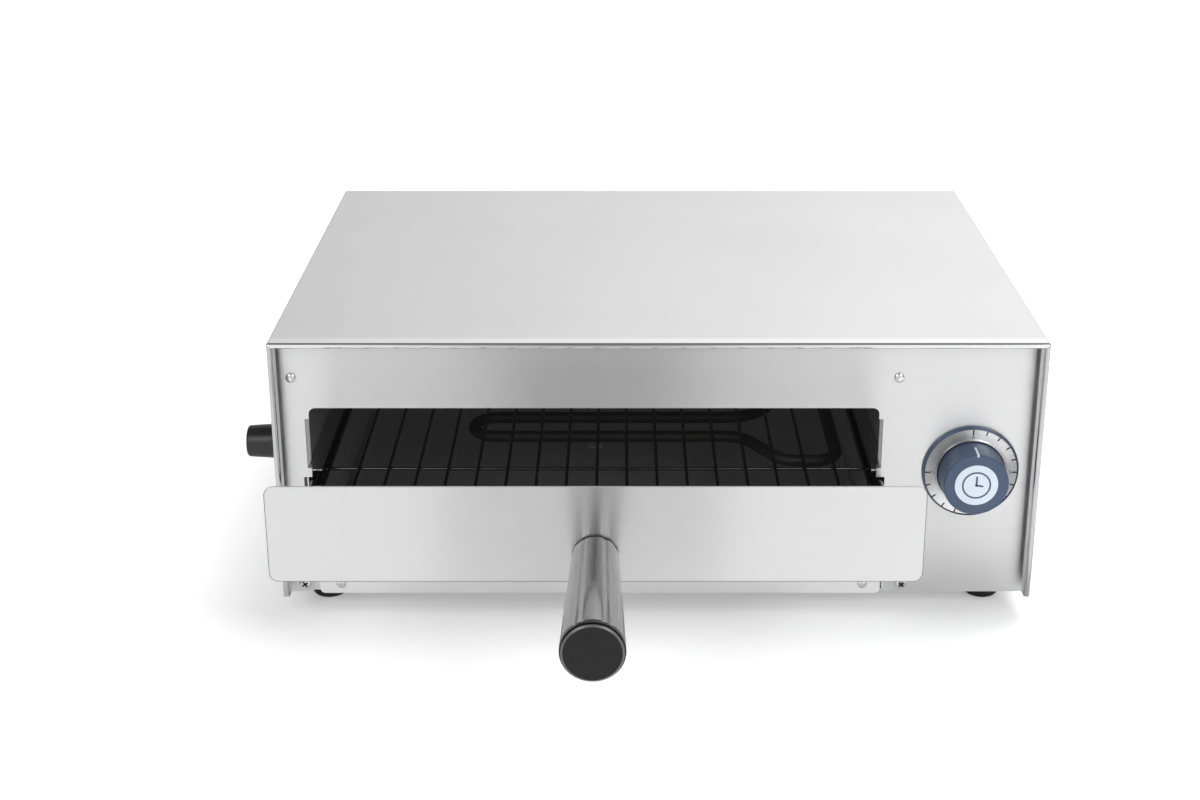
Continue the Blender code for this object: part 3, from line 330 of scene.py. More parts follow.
# The cover's steels: the top and its hem are painted lighter than the sides, the side hem and the return, which are
# painted shade on one sheet.
STEEL_TOP = brushed(
    "steel_cover", (14, 2600, 2600), ACROSS_X, rough=0.26, light=0.94, streak=0.008, relief=0.002, uneven=0.005
)
STEEL_SIDE = brushed(
    "steel_cover_side", (2200, 2200, 30), ACROSS_Z, rough=0.28, light=0.74, streak=0.012, relief=0.004, uneven=0.006
)
STEEL_PLATE = brushed(
    "steel_door", (18, 2600, 2600), UP, rough=0.29, light=0.76, streak=0.010, relief=0.002, uneven=0.01
)
STEEL_DOOR_BACK = brushed("steel_door_back", (24, 2600, 2600), UP, rough=0.42, light=0.80, streak=0.02, relief=0.01)
# The door's back: a paler steel with a painted glow seen only in reflections, left dark near the handle's X as
# painted shade.
glow_in_reflections(STEEL_DOOR_BACK, 0.44, at(-0.040, 0, 0).x, 0.10)
# A dark steel for the door's edges at the sides and below: painted shade.
STEEL_SHADE_EDGE = brushed("steel_edge_painted_shade", (900, 900, 900), UP, rough=0.32, anisotropic=0.0, light=0.30, relief=0.02)
STEEL_DIAL = turned_steel("steel_dial", at(DIAL[0], 0, DIAL[1]), 25)
STEEL_BRIGHT = polished("steel_bright")
# The handle's polished steel is painted far darker than steel: a painted reflection of dark surroundings.
STEEL_TUBE = polished("steel_tube", (1600, 18, 1600), 0.12, 0.27)
# The top hem is painted light; the side hem and the return are painted shade.
STEEL_HEM = polished("steel_hem", 40, 0.12, 0.90, relief=0.0, uneven=0.01)
STEEL_SIDE_HEM = polished("steel_side_hem", 40, 0.20, 0.60, relief=0.0, uneven=0.01)
STEEL_RETURN = coated("steel_return", 0.50, 0.58, 0.40, (900, 900, 60), 0.1, metallic=0.5)
# The slot's flanges: a near-white steel with a glow, painted light that makes them read lit.
STEEL_FLANGE = coated("steel_flange", 0.86, 0.95, 0.45, (60, 900, 900), 0.1, glow=0.06)
STEEL_RAIL = polished("steel_rail", (900, 20, 900), 0.24, 0.62)
# The chamber's enamel is a lighter grey than black enamel and glows: painted light for the light the cavity scatters.
ENAMEL = coated("chamber_enamel", (0.105, 0.105, 0.108), (0.135, 0.135, 0.138), 0.50, 700, 0.15, glow=0.0125)
WIRE = coated("rack_plating", 0.055, (0.085, 0.085, 0.083), 0.24, 900, 0.2, metallic=1.0, glow=0.003)
SHEATH = coated("heater_sheath", 0.012, (0.03, 0.028, 0.026), 0.5, 1200, 0.4, glow=0.003)
SLATE = coated("slate_plastic", (0.054, 0.086, 0.150), (0.063, 0.098, 0.168), 0.38, 3500, 0.25)
PALE = coated("pale_plastic", (0.70, 0.78, 0.88), (0.74, 0.82, 0.92), 0.4, 3500, 0.15)
BLACK = coated("black_plastic", 0.010, 0.014, 0.34, 3000, 0.2)
GLOSSY_BLACK = coated("cap_collar_plastic", 0.004, 0.006, 0.14, 1500, 0.05, specular=0.25)
CHARCOAL = coated("cap_plastic", 0.011, 0.015, 0.5, 2500, 0.3, specular=0.3)
# A grey for the cap's bevel: a painted highlight on the black plastic.
RIM_HIGHLIGHT = coated("cap_rim_painted_highlight", 0.10, 0.13, 0.3, 2500, 0.1)
# Near-black steel for the screws' cross recesses and the handle's crimped root: painted shade.
RECESS_SHADE = coated("recess_painted_shade", 0.02, 0.04, 0.5, 2500, 0.2, metallic=1.0)
INK = coated("dial_ink", (0.004, 0.004, 0.005), (0.006, 0.006, 0.007), 0.5, 3000, 0.1)
RUBBER = coated("foot_rubber", 0.010, 0.016, 0.75, 1800, 0.5)
CERAMIC = coated("steatite", (0.62, 0.58, 0.50), (0.74, 0.71, 0.63), 0.5, 1500, 0.3)
BRASS = coated("turned_brass", (0.62, 0.42, 0.14), (0.74, 0.53, 0.22), 0.3, (900, 60, 900), 0.2, metallic=1.0)
SLEEVE = woven("glass_fibre_sleeve")

# ---- mesh tools


def new_object(name, data):
    made = bpy.data.objects.new(name, data)
    bpy.context.scene.collection.objects.link(made)
    return made


def face_outwards(bm):
    bmesh.ops.recalc_face_normals(bm, faces=bm.faces)


def join_rings(bm, first, second):
    """A band of faces between two closed rings with as many vertices."""
    for index in range(len(first)):
        after = (index + 1) % len(first)
        bm.faces.new((first[index], first[after], second[after], second[index]))


def finish_piece(name, bm, material, body, nodes=(), angle=35, weighted=True):
    """Turns a bmesh into a piece that rides on a body and stands for the CAD nodes."""
    bmesh.ops.remove_doubles(bm, verts=bm.verts, dist=1e-7)
    face_outwards(bm)
    mesh = bpy.data.meshes.new(name)
    bm.to_mesh(mesh)
    bm.free()
    mesh.shade_smooth()
    mesh.set_sharp_from_angle(angle=math.radians(angle))
    for one in material if isinstance(material, (list, tuple)) else [material]:
        mesh.materials.append(one)
    made = new_object(name, mesh)
    if weighted:
        modifier = made.modifiers.new("weighted", "WEIGHTED_NORMAL")
        modifier.keep_sharp = True
    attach(made, body)
    if nodes:
        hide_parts(*nodes)
    return made


def arc(centre, radius, start, end, steps=6):
    turn = [math.radians(start + (end - start) * step / steps) for step in range(steps + 1)]
    return [(centre[0] + radius * math.cos(a), centre[1] + radius * math.sin(a)) for a in turn]


def circle(centre, radius, count=24):
    return arc(centre, radius, 0, 360 * (count - 1) / count, count - 1)


def fillet(points, closed=True, steps=4):
    """Rounds the corners of a flat outline. Each point is u, v and, where it is rounded, a radius."""
    made = []
    for index, point in enumerate(points):
        here = Vector(point[:2])
        inner = closed or 0 < index < len(points) - 1
        if len(point) < 3 or not point[2] or not inner:
            made.append(tuple(here))
            continue
        back = Vector(points[index - 1][:2]) - here
        ahead = Vector(points[(index + 1) % len(points)][:2]) - here
        half = back.angle(ahead) / 2
        cut = min(point[2] / math.tan(half), back.length * 0.49, ahead.length * 0.49)
        radius = cut * math.tan(half)
        centre = here + (back.normalized() + ahead.normalized()).normalized() * radius / math.sin(half)
        start = here + back.normalized() * cut - centre
        end = here + ahead.normalized() * cut - centre
        sweep = start.angle_signed(end)
        for step in range(steps + 1):
            turn = Matrix.Rotation(-sweep * step / steps, 2)
            made.append(tuple(centre + turn @ start))
    return made


# For each facing: across, up and out
AXES = {
    "front": [Vector(v) for v in ((1, 0, 0), (0, 0, 1), (0, -1, 0))],
    "back": [Vector(v) for v in ((-1, 0, 0), (0, 0, 1), (0, 1, 0))],
    "left": [Vector(v) for v in ((0, -1, 0), (0, 0, 1), (-1, 0, 0))],
    "up": [Vector(v) for v in ((1, 0, 0), (0, 1, 0), (0, 0, 1))],
}


def add_lathe(bm, profile, centre, facing, segments=64, ring=False, shape=None):
    """Turns a profile of radius and height about an axis. shape may change a radius by its angle."""
    across, up, out = AXES[facing]
    rings = []
    for radius, height in profile:
        if radius < 1e-7:
            rings.append([bm.verts.new(centre + out * height)])
            continue
        verts = []
        for index in range(segments):
            turn = math.tau * index / segments
            reach = radius if shape is None else radius + shape(turn, height)
            spoke = across * math.cos(turn) + up * math.sin(turn)
            verts.append(bm.verts.new(centre + spoke * reach + out * height))
        rings.append(verts)
    pairs = list(zip(rings, rings[1:]))
    if ring:
        pairs.append((rings[-1], rings[0]))
    made = []
    for first, second in pairs:
        for index in range(segments):
            after = (index + 1) % segments
            loop = [first[index % len(first)], first[after % len(first)]]
            loop += [second[after % len(second)], second[index % len(second)]]
            unique = list(dict.fromkeys(loop))
            if len(unique) > 2:
                made.append(bm.faces.new(unique))
    return made


def lathe(name, profile, centre, facing, material, body, slot, nodes=(), **options):
    """A turned piece from a profile of radius, height and, where a corner is rounded, its radius."""
    ring = options.get("ring", False)
    bm = bmesh.new()
    add_lathe(bm, fillet(profile, ring), centre, facing, **options)
    return finish_piece(name, bm, material, body, nodes)


def add_sheet(bm, loops, front, thickness, place):
    """A flat sheet from its outline and its holes. place turns u, v and depth into a point."""
    edges = []
    for loop in loops:
        verts = [bm.verts.new(place(u, v, front)) for u, v in loop]
        edges += [bm.edges.new(pair) for pair in zip(verts, verts[1:] + verts[:1])]
    filled = bmesh.ops.triangle_fill(bm, use_beauty=True, use_dissolve=False, edges=edges)
    faces = [item for item in filled["geom"] if isinstance(item, bmesh.types.BMFace)]
    if not thickness:
        return faces
    raised = bmesh.ops.extrude_face_region(bm, geom=faces)
    moved = [item for item in raised["geom"] if isinstance(item, bmesh.types.BMVert)]
    shift = place(0, 0, front + thickness) - place(0, 0, front)
    bmesh.ops.translate(bm, verts=moved, vec=shift)
    return faces


def upright(u, v, depth):
    return at(u, depth, v)


def soften(bm, width, segments=2, angle=40):
    """Rounds every edge that is sharper than the angle."""
    edges = [e for e in bm.edges if len(e.link_faces) == 2 and e.calc_face_angle(0) > math.radians(angle)]
    bmesh.ops.bevel(
        bm, geom=edges, offset=width, segments=segments, profile=0.6, affect="EDGES", clamp_overlap=True
    )


def frames_along(points):
    """A tangent and two sideways directions at each point of a route, without twist."""
    made = []
    side = None
    for index, point in enumerate(points):
        before = points[max(index - 1, 0)]
        after = points[min(index + 1, len(points) - 1)]
        along = (after - before).normalized()
        if side is None:
            side = along.orthogonal().normalized()
        side = (side - along * side.dot(along)).normalized()
        made.append((along, side, along.cross(side)))
    return made


def add_tube(bm, points, radius, sides):
    """A round wire along a route, with softly domed ends."""
    points = [Vector(p) for p in points]
    rings = []
    for index, (along, side, other) in enumerate(frames_along(points)):
        stations = [(1.0, 0.0)]
        if index in (0, len(points) - 1):
            sizes = (0.45, 0.8, 0.95, 1.0)
            stations = [(size, radius * END_DOME * (1 - math.sqrt(1 - size * size))) for size in sizes]
        if index:
            along = -along
            stations.reverse()
        for size, inward in stations:
            centre = points[index] + along * inward
            turns = [math.tau * k / sides for k in range(sides)]
            reach = radius * size
            rings.append([bm.verts.new(centre + (side * math.cos(t) + other * math.sin(t)) * reach) for t in turns])
    for pair in zip(rings, rings[1:]):
        join_rings(bm, *pair)
    bm.faces.new(list(reversed(rings[0])))
    bm.faces.new(rings[-1])


def rounded_route(corners, steps):
    """A route through corners, each given as a point and the radius that rounds it."""
    points = [Vector(corners[0][0])]
    for before, (corner, radius), after in zip(corners, corners[1:], corners[2:]):
        corner = Vector(corner)
        back = (Vector(before[0]) - corner).normalized()
        ahead = (Vector(after[0]) - corner).normalized()
        half = back.angle(ahead) / 2
        centre = corner + (back + ahead).normalized() * radius / math.sin(half)
        start = corner + back * radius / math.tan(half) - centre
        end = corner + ahead * radius / math.tan(half) - centre
        for step in range(steps + 1):
            points.append(centre + start.slerp(end, step / steps).normalized() * radius)
    points.append(Vector(corners[-1][0]))
    return points


# ---- casing


def wrap_path(half, top, bottom, radius, inset, steps=8):
    """Up the left side, over the top and down the right side, inset from the cover's outside."""
    rounding = max(radius - inset, 0.0001)
    left, right, roof = -half + inset, half - inset, top - inset
    points = [(left, bottom)]
    points += arc((left + rounding, roof - rounding), rounding, 180, 90, steps)
    points += arc((right - rounding, roof - rounding), rounding, 90, 0, steps)
    return points + [(right, bottom)]


def cover():
    """The cover: one sheet over both sides and the top, its front edge folded back into a round hem."""
    fold = HEM / 2
    sections = []
    for step in range(8):
        turn = math.radians(3 + 87 * step / 7)
        outer = fold - fold * math.sin(turn)
        sections.append((fold - fold * math.cos(turn), outer, HEM - outer))
    sections += [
        (HEM_RETURN - 0.0006, 0.0, HEM),
        (HEM_RETURN, 0.0, HEM - 0.0004),
        (HEM_RETURN + 0.0001, 0.0, SHEET),
        (DEPTH - 0.0003, 0.0, SHEET),
        (DEPTH, 0.0003, SHEET - 0.0002),
    ]
    bm = bmesh.new()
    rings = []
    for y, outer, inner in sections:
        foot = COVER_BOTTOM + min(outer, 0.0006)
        path = wrap_path(HALF_WIDTH, HEIGHT, foot, COVER_RADIUS, outer)
        path += reversed(wrap_path(HALF_WIDTH, HEIGHT, foot, COVER_RADIUS, inner))
        rings.append([bm.verts.new(at(x, y, z)) for x, z in path])
    for pair in zip(rings, rings[1:]):
        join_rings(bm, *pair)
    for ring in (rings[0], rings[-1]):
        for index in range(len(ring) // 2 - 1):
            bm.faces.new((ring[index], ring[index + 1], ring[-2 - index], ring[-1 - index]))
    # Lit and shaded copies of one steel: painted light on the top and top hem, painted shade on the sides, side hem
    # and return.
    steels = [STEEL_TOP, STEEL_SIDE, STEEL_HEM, STEEL_RETURN, STEEL_SIDE_HEM]
    for face in bm.faces:
        middle = face.calc_center_median() - SHIFT
        aside = HALF_WIDTH - abs(middle.x)
        on_side = HEIGHT - middle.z > aside
        steel = STEEL_TOP
        if middle.y < HEM_RETURN + 0.0001:
            steel = STEEL_SIDE_HEM if on_side else STEEL_HEM
        elif on_side:
            steel = STEEL_RETURN if aside > SHEET * 0.8 else STEEL_SIDE
        face.material_index = steels.index(steel)
    return finish_piece("cover", bm, steels, "casing", ["cover_shell"], 50)


def slot_outline():
    """The panel's opening, with a notch for each rail and a relief behind each side flange."""
    left, right, bottom, top = OPENING
    notch_left, notch_right, notch_top = NOTCHES
    low, high = FLANGE_SPAN
    radius = PANEL_CORNER
    relief = FLANGE_RELIEF + BEND
    slot = [(notch_left, bottom), (notch_left, notch_top), (left, notch_top), (left, low), (left - relief, low)]
    slot += [(left - relief, high), (left, high)]
    slot += arc((left + radius, top - radius), radius, 180, 90)
    slot += arc((right - radius, top - radius), radius, 90, 0)
    slot += [(right, high), (right + relief, high), (right + relief, low), (right, low)]
    return slot + [(right, notch_top), (notch_right, notch_top), (notch_right, bottom)]


def panel_outline():
    """The panel's outside, with the cut-out for the tray in its lower edge."""
    tray_left, tray_right, tray_top = TRAY_SLOT
    corner = PANEL_CORNER
    outline = [(-INNER_HALF, PANEL_BOTTOM)]
    outline += arc((tray_left - corner, PANEL_BOTTOM + corner), corner, 270, 360)
    outline += [(tray_left, tray_top), (tray_right, tray_top)]
    outline += arc((tray_right + corner, PANEL_BOTTOM + corner), corner, 180, 270)
    return outline + [(INNER_HALF, PANEL_BOTTOM), (INNER_HALF, PANEL_TOP), (-INNER_HALF, PANEL_TOP)]


def front_panel():
    """The recessed front panel: its slot's side edges bend back into flanges."""
    left, right = OPENING[:2]
    low, high = FLANGE_SPAN
    holes = [circle(DIAL, DIAL_HOLE)]
    holes += [circle(centre, RIVET_HOLE, 12) for centre in RIVETS]
    holes += [circle(centre, SCREW_HOLE, 12) for centre in SCREWS]
    bm = bmesh.new()
    add_sheet(bm, [panel_outline(), slot_outline()] + holes, PANEL_FRONT, 0, upright)
    for edge_x, side in ((left - FLANGE_RELIEF, -1), (right + FLANGE_RELIEF, 1)):
        route = []
        for turn in (math.radians(degrees) for degrees in range(0, 91, 15)):
            across = edge_x + side * BEND * (1 - math.sin(turn))
            route.append((across, PANEL_FRONT + BEND * (1 - math.cos(turn))))
        route.append((edge_x, PANEL_FRONT + FLANGE_DEPTH))
        rows = [[bm.verts.new(at(x, y, z)) for z in (low, high)] for x, y in route]
        for first, second in zip(rows, rows[1:]):
            bm.faces.new((first[0], first[1], second[1], second[0]))
        bm.faces.ensure_lookup_table()
        bm.faces[-1].material_index = 1
    route = [(PANEL_TOP, PANEL_FRONT), (PANEL_TOP, PANEL_FRONT + FLANGE_DEPTH)]
    rows = [[bm.verts.new(at(x, y, z)) for x in (-INNER_HALF, INNER_HALF)] for z, y in route]
    bm.faces.new((rows[0][0], rows[0][1], rows[1][1], rows[1][0]))
    bmesh.ops.remove_doubles(bm, verts=bm.verts, dist=1e-6)
    face_outwards(bm)
    flat = max(bm.faces, key=lambda f: f.calc_area())
    if flat.normal.y > 0:
        bmesh.ops.reverse_faces(bm, faces=bm.faces)
    bmesh.ops.solidify(bm, geom=bm.faces[:], thickness=SHEET)
    soften(bm, 0.00018, 1, 60)
    steels = [STEEL_FRONT, STEEL_FLANGE]
    finish_piece("front_panel_sheet", bm, steels, "casing", ["front_panel"], 30)


DRESSED = (
    (STEEL_FRONT, 0.0002, "back_panel base_plate"),
    (ENAMEL, 0.0002, "chamber_wrap chamber_back heat_shield lower_heater_bracket upper_heater_bracket tray_pan"),
    (STEEL_RAIL, 0.00015, "left_rail right_rail"),
    (STEEL_RAIL, 0.0002, "rack_clip_left rack_clip_right"),
    (STEEL_BRIGHT, 0.0001, "foot_screw_front_left foot_screw_front_right foot_screw_back_left foot_screw_back_right"),
    (STEEL_BRIGHT, 0.0002, "handle_bolt"),
    (BLACK, 0.0002, "handle_seat"),
    (BLACK, 0.0003, "cable_gland"),
    (BLACK, 0.0005, "timer_body selector_body"),
    (CERAMIC, 0, "lower_bush_inner lower_bush_outer upper_bush_inner upper_bush_outer"),
    (CERAMIC, 0.0003, "terminal_block thermal_cutout"),
    (SLEEVE, 0, "supply_wire selector_wire lower_heater_wire upper_heater_wire"),
    (BRASS, 0.0002, "timer_shaft"),
)


def dress(node, material, bevel):
    """A CAD node that stays: joined up, with softened edges and a finish of its own."""
    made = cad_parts[node]
    for slot in made.material_slots:
        slot.material = material
    weld = made.modifiers.new("weld", "WELD")
    weld.merge_threshold = 1e-6
    if bevel:
        edge = made.modifiers.new("edges", "BEVEL")
        edge.width = bevel
        edge.segments = 2
        edge.limit_method = "ANGLE"
        edge.angle_limit = math.radians(40)
        edge.harden_normals = True
    weighted = made.modifiers.new("weighted", "WEIGHTED_NORMAL")
    weighted.keep_sharp = True


def dome(name, place, node, body):
    """A dome rivet: its head, the shank through the sheet and the formed end behind."""
    radius, height = 0.0031, 0.0017
    profile = [(0, height)]
    profile += [(radius * math.sin(a), GAP + (height - GAP) * math.cos(a)) for a in (0.3, 0.6, 0.9, 1.2, 1.45)]
    profile += [(radius, GAP), (0.0015, GAP), (0.0015, -0.0024), (0.0026, -0.0024), (0.0020, -0.0034), (0, -0.0035)]
    seat = at(place[0], PANEL_FRONT, place[1])
    lathe(name, profile, seat, "front", STEEL_BRIGHT, body, "polished_steel", [node], segments=32)


def cross_screw(name, centre, facing, node, turn):
    """A pan-head screw with a cross recess that narrows as it goes down."""
    head = 0.0026
    radius = 0.0040
    profile = [(0, head), (radius * 0.5, head, 0.0004), (radius * 0.84, head * 0.84, 0.0008)]
    profile += [(radius, head * 0.45, 0.0006), (radius, GAP, 0.0001), (0.0017, GAP), (0.0017, -0.005), (0, -0.006)]
    bm = bmesh.new()
    add_lathe(bm, fillet(profile, False, 3), centre, facing, segments=40)
    across, up, out = AXES[facing]
    face_outwards(bm)
    made = finish_piece(name, bm, [STEEL_BRIGHT, RECESS_SHADE], "casing", [node])
    cutter = bmesh.new()
    for extra in (0, 90):
        angle = math.radians(turn + extra)
        along = across * math.cos(angle) + up * math.sin(angle)
        side = up * math.cos(angle) - across * math.sin(angle)
        corners = []
        for depth, length, width in ((head - 0.0016, 0.0011, 0.0004), (head + 0.0004, 0.0024, 0.0006)):
            for a, b in ((-1, -1), (1, -1), (1, 1), (-1, 1)):
                corners.append(cutter.verts.new(centre + out * depth + along * a * length + side * b * width))
        for loop in ((0, 1, 2, 3), (4, 5, 6, 7), (0, 1, 5, 4), (1, 2, 6, 5), (2, 3, 7, 6), (3, 0, 4, 7)):
            # The recess's cut faces take the near-black steel: painted shade.
            cutter.faces.new([corners[i] for i in loop]).material_index = 1
    face_outwards(cutter)
    cut_away(made, cutter)


def cut_away(made, cutter):
    """Cuts a tool out of a piece and keeps the result in its mesh."""
    mesh = bpy.data.meshes.new("tool")
    cutter.to_mesh(mesh)
    cutter.free()
    for material in made.data.materials:
        mesh.materials.append(material)
    tool = new_object("tool", mesh)
    modifier = made.modifiers.new("cut", "BOOLEAN")
    modifier.object = tool
    modifier.operation = "DIFFERENCE"
    modifier.solver = "EXACT"
    modifier.use_self = True
    made.modifiers.move(len(made.modifiers) - 1, 0)
    for other in made.modifiers[1:]:
        other.show_viewport = False
    graph = bpy.context.evaluated_depsgraph_get()
    result = bpy.data.meshes.new_from_object(made.evaluated_get(graph))
    made.modifiers.remove(modifier)
    for other in made.modifiers:
        other.show_viewport = True
    made.data = result
    result.set_sharp_from_angle(angle=math.radians(35))
    bpy.data.objects.remove(tool, do_unlink=True)


def casing():
    shell = cover()
    hole = bmesh.new()
    drill = [(0, -0.003), (SELECTOR_HOLE, -0.003), (SELECTOR_HOLE, 0.003), (0, 0.003)]
    add_lathe(hole, drill, at(-HALF_WIDTH, *SELECTOR_SEAT), "left", 32)
    face_outwards(hole)
    cut_away(shell, hole)
    front_panel()
    for side, place in zip(("left", "right"), RIVETS):
        dome(f"panel_dome_{side}", place, f"panel_rivet_{side}", "casing")
    for side, (x, z), turn in zip(("left", "right"), SCREWS, (35, 45)):
        place = at(x, PANEL_FRONT, z)
        cross_screw(f"panel_cross_screw_{side}", place, "front", f"panel_screw_{side}", turn)
    for level, height in REAR_SCREW_Z.items():
        for side, x, turn in (("left", -REAR_SCREW_X, 15), ("right", REAR_SCREW_X, 60)):
            place = at(x, REAR_FACE, height)
            cross_screw(f"rear_cross_screw_{level}_{side}", place, "back", f"back_screw_{level}_{side}", turn)
    for end in ("front", "back"):
        for side in ("left", "right"):
            foot(f"{end}_{side}")


def foot(which):
    """A rubber foot with two shallow grooves round it and a hollow for its screw."""
    low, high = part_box(f"foot_{which}")
    centre = Vector(((low.x + high.x) / 2, (low.y + high.y) / 2, 0))
    top = high.z
    profile = [
        (0.0022, 0.0060), (0.0048, 0.0060, 0.0003), (0.0048, 0.0, 0.0003), (0.0100, 0.0, 0.0006),
        (0.0110, 0.0012, 0.0006), (0.0114, 0.0040, 0.0004), (0.0110, 0.0046, 0.0003), (0.0115, 0.0052, 0.0003),
        (0.0120, top - 0.0010, 0.0004), (0.0120, top, 0.0003), (0.0022, top),
    ]
    options = {"nodes": [f"foot_{which}"], "segments": 56, "ring": True}
    lathe(f"rubber_foot_{which}", profile, centre, "up", RUBBER, "casing", "foot_rubber", **options)


# ---- rack and handle


def door():
    """The door plate: brushed front, plain back with a painted glow in reflections, and a dark edge at the sides and
    below that is painted shade.
    """
    left, right, bottom, top = DOOR
    radius = DOOR_CORNER
    corners = [(right - radius, top - radius), (left + radius, top - radius)]
    corners += [(left + radius, bottom + radius), (right - radius, bottom + radius)]
    outline = []
    for index, centre in enumerate(corners):
        outline += arc(centre, radius, index * 90, index * 90 + 90, 10)
    bm = bmesh.new()
    add_sheet(bm, [outline, circle(HANDLE, DOOR_BOLT_HOLE, 24)], DOOR_FRONT, DOOR_THICK, upright)
    soften(bm, 0.00035, 2)
    face_outwards(bm)
    steels = [STEEL_PLATE, STEEL_DOOR_BACK, STEEL_SHADE_EDGE]
    back, edge = 1, 2
    front = [face for face in bm.faces if face.normal.y < -0.99]
    # A thin band along the front's sides and bottom, and every edge face but the top, take the dark steel: painted
    # shade.
    for face in bmesh.ops.inset_region(bm, faces=front, thickness=DOOR_SHADE_BAND)["faces"]:
        if face.calc_center_median().z < top - DOOR_THICK:
            face.material_index = edge
    for face in bm.faces:
        if face.normal.y > 0.9:
            face.material_index = back
        elif face.normal.y > -0.97 and face.normal.z < 0.3:
            face.material_index = edge
    finish_piece("door", bm, steels, "rack", ["door_plate"], 50)


def rack_wires():
    """Rods from front to back on three cross wires, between the side rods that run in the rails."""
    bm = bmesh.new()
    for index in range(RODS):
        x = CHAMBER_MIDDLE - ROD_SPREAD + 2 * ROD_SPREAD * index / (RODS - 1)
        add_tube(bm, [at(x, y, RACK_Z) for y in RACK_ENDS], ROD_RADIUS, 12)
    for side in (-1, 1):
        x = CHAMBER_MIDDLE + side * SIDE_ROD_SPREAD
        add_tube(bm, [at(x, y, RACK_Z) for y in RACK_ENDS], SIDE_ROD_RADIUS, 16)
    for y in CROSS_WIRES:
        ends = [at(CHAMBER_MIDDLE + side * CROSS_WIRE_SPREAD, y, RACK_Z - CROSS_WIRE_DROP) for side in (-1, 1)]
        add_tube(bm, ends, ROD_RADIUS, 12)
    finish_piece("wire_shelf", bm, WIRE, "rack", ["wire_rack"], 60, weighted=False)


def flutes(turn, height):
    """How far the handle's tube dips: two flutes along it, and a crimped root."""
    dip = -0.00030 * (1 + math.cos(11 * turn)) * math.exp(-height / 0.0018)
    for centre in (math.radians(64), math.radians(116)):
        away = abs((turn - centre + math.pi) % math.tau - math.pi)
        dip -= 0.00042 * math.exp(-((away / 0.085) ** 2))
    return dip


def handle_grip(root, tube_end):
    """The tapered polished tube, painted dark as a painted reflection, and darker at its crimped root as painted
    shade.
    """
    base, end = HANDLE_RADII
    wall = HANDLE_WALL
    profile = [(base - wall, GAP, 0.0002), (base - 0.0004, GAP, 0.0002), (base, 0.0010, 0.0004), (base, 0.0017)]
    for step in range(1, 8):
        share = step / 8
        profile.append((base + (end - base) * share, tube_end * share))
    profile += [(end, tube_end, 0.0004), (end - wall, tube_end, 0.0003)]
    bm = bmesh.new()
    made = add_lathe(bm, fillet(profile, True, 4), root, "front", 180, True, flutes)
    # The faces at the crimped root take the near-black steel: painted shade.
    for face in made:
        if root.y - face.calc_center_median().y < 0.0016:
            face.material_index = 1
    finish_piece("handle_grip", bm, [STEEL_TUBE, RECESS_SHADE], "rack", ["handle_tube"])


def handle_end(root, tube_end):
    """The black cap: a glossy collar, a grey rim that is a painted highlight and a duller face."""
    end = HANDLE_RADII[1]
    cap = [
        (0, HANDLE_LENGTH), (CAP_FACE, HANDLE_LENGTH, 0.0002), (CAP_RIM, HANDLE_LENGTH - 0.0008, 0.0003),
        (end, HANDLE_LENGTH - 0.0018, 0.0006), (end, tube_end + GAP, 0.0004), (end - 0.0022, tube_end + GAP),
        (end - 0.0022, tube_end - 0.0100), (0.0033, tube_end - 0.0100), (0.0033, tube_end + 0.0020),
        (0, tube_end + 0.0020),
    ]
    bm = bmesh.new()
    add_lathe(bm, fillet(cap, False, 4), root, "front", 96)
    face_outwards(bm)
    plastics = [GLOSSY_BLACK, CHARCOAL, RIM_HIGHLIGHT]
    middle_face, rim = 1, 2
    for face in bm.faces:
        middle = face.calc_center_median() - root
        reach = math.hypot(middle.x, middle.z)
        if -middle.y > HANDLE_LENGTH - 0.0012 and reach < CAP_RIM + 0.0001:
            face.material_index = middle_face if reach < CAP_FACE - 0.0001 else rim
    finish_piece("handle_end_cap", bm, plastics, "rack", ["handle_cap"])


def handle():
    root = at(HANDLE[0], DOOR_FRONT, HANDLE[1])
    tube_end = HANDLE_LENGTH - CAP_LENGTH
    handle_grip(root, tube_end)
    handle_end(root, tube_end)


# ---- crumb tray


def tray():
    """The tray's front strip, with its rivets."""
    left, right, bottom, top = TRAY_FACE
    corner = TRAY_CORNER
    outline = arc((left + corner, bottom + corner), corner, 180, 270, 8)
    outline += arc((right - corner, bottom + corner), corner, 270, 360, 8)
    outline += [(right, top), (left, top)]
    holes = [circle(centre, RIVET_HOLE, 12) for centre in TRAY_RIVETS]
    bm = bmesh.new()
    add_sheet(bm, [outline] + holes, PANEL_FRONT, SHEET, upright)
    soften(bm, 0.00025, 2)
    finish_piece("tray_face", bm, STEEL_TRAY, "tray", ["tray_front"], 50)
    for side, place in zip(("left", "right"), TRAY_RIVETS):
        dome(f"tray_dome_{side}", place, f"tray_rivet_{side}", "tray")


# ---- heaters


def heaters():
    """Two tubular elements, each one loop."""
    back, front, left, near = 0.171, 0.138, -0.1238, 0.098
    for level, height in HEATER_Z.items():
        corners = [
            ((0.085, 0.312, height), 0), ((0.085, back, height), 0.035), ((left, back, height), 0.0164),
            ((left, front, height), 0.0164), ((0.060, front, height), 0.020), ((0.085, near, height), 0.016),
            ((0.122, near, height), 0.016), ((0.122, 0.312, height), 0),
        ]
        bm = bmesh.new()
        add_tube(bm, [SHIFT + p for p in rounded_route(corners, 10)], HEATER_RADIUS, 20)
        nodes = [f"{level}_heater"]
        finish_piece(f"{level}_element", bm, SHEATH, "casing", nodes, 60, weighted=False)


# ---- controls


def dial_point(angle, reach, depth=0.0):
    """A point of the dial: clockwise degrees from the top, distance from its centre and depth."""
    turn = math.radians(angle)
    return at(DIAL[0] + reach * math.sin(turn), PANEL_FRONT - depth, DIAL[1] + reach * math.cos(turn))


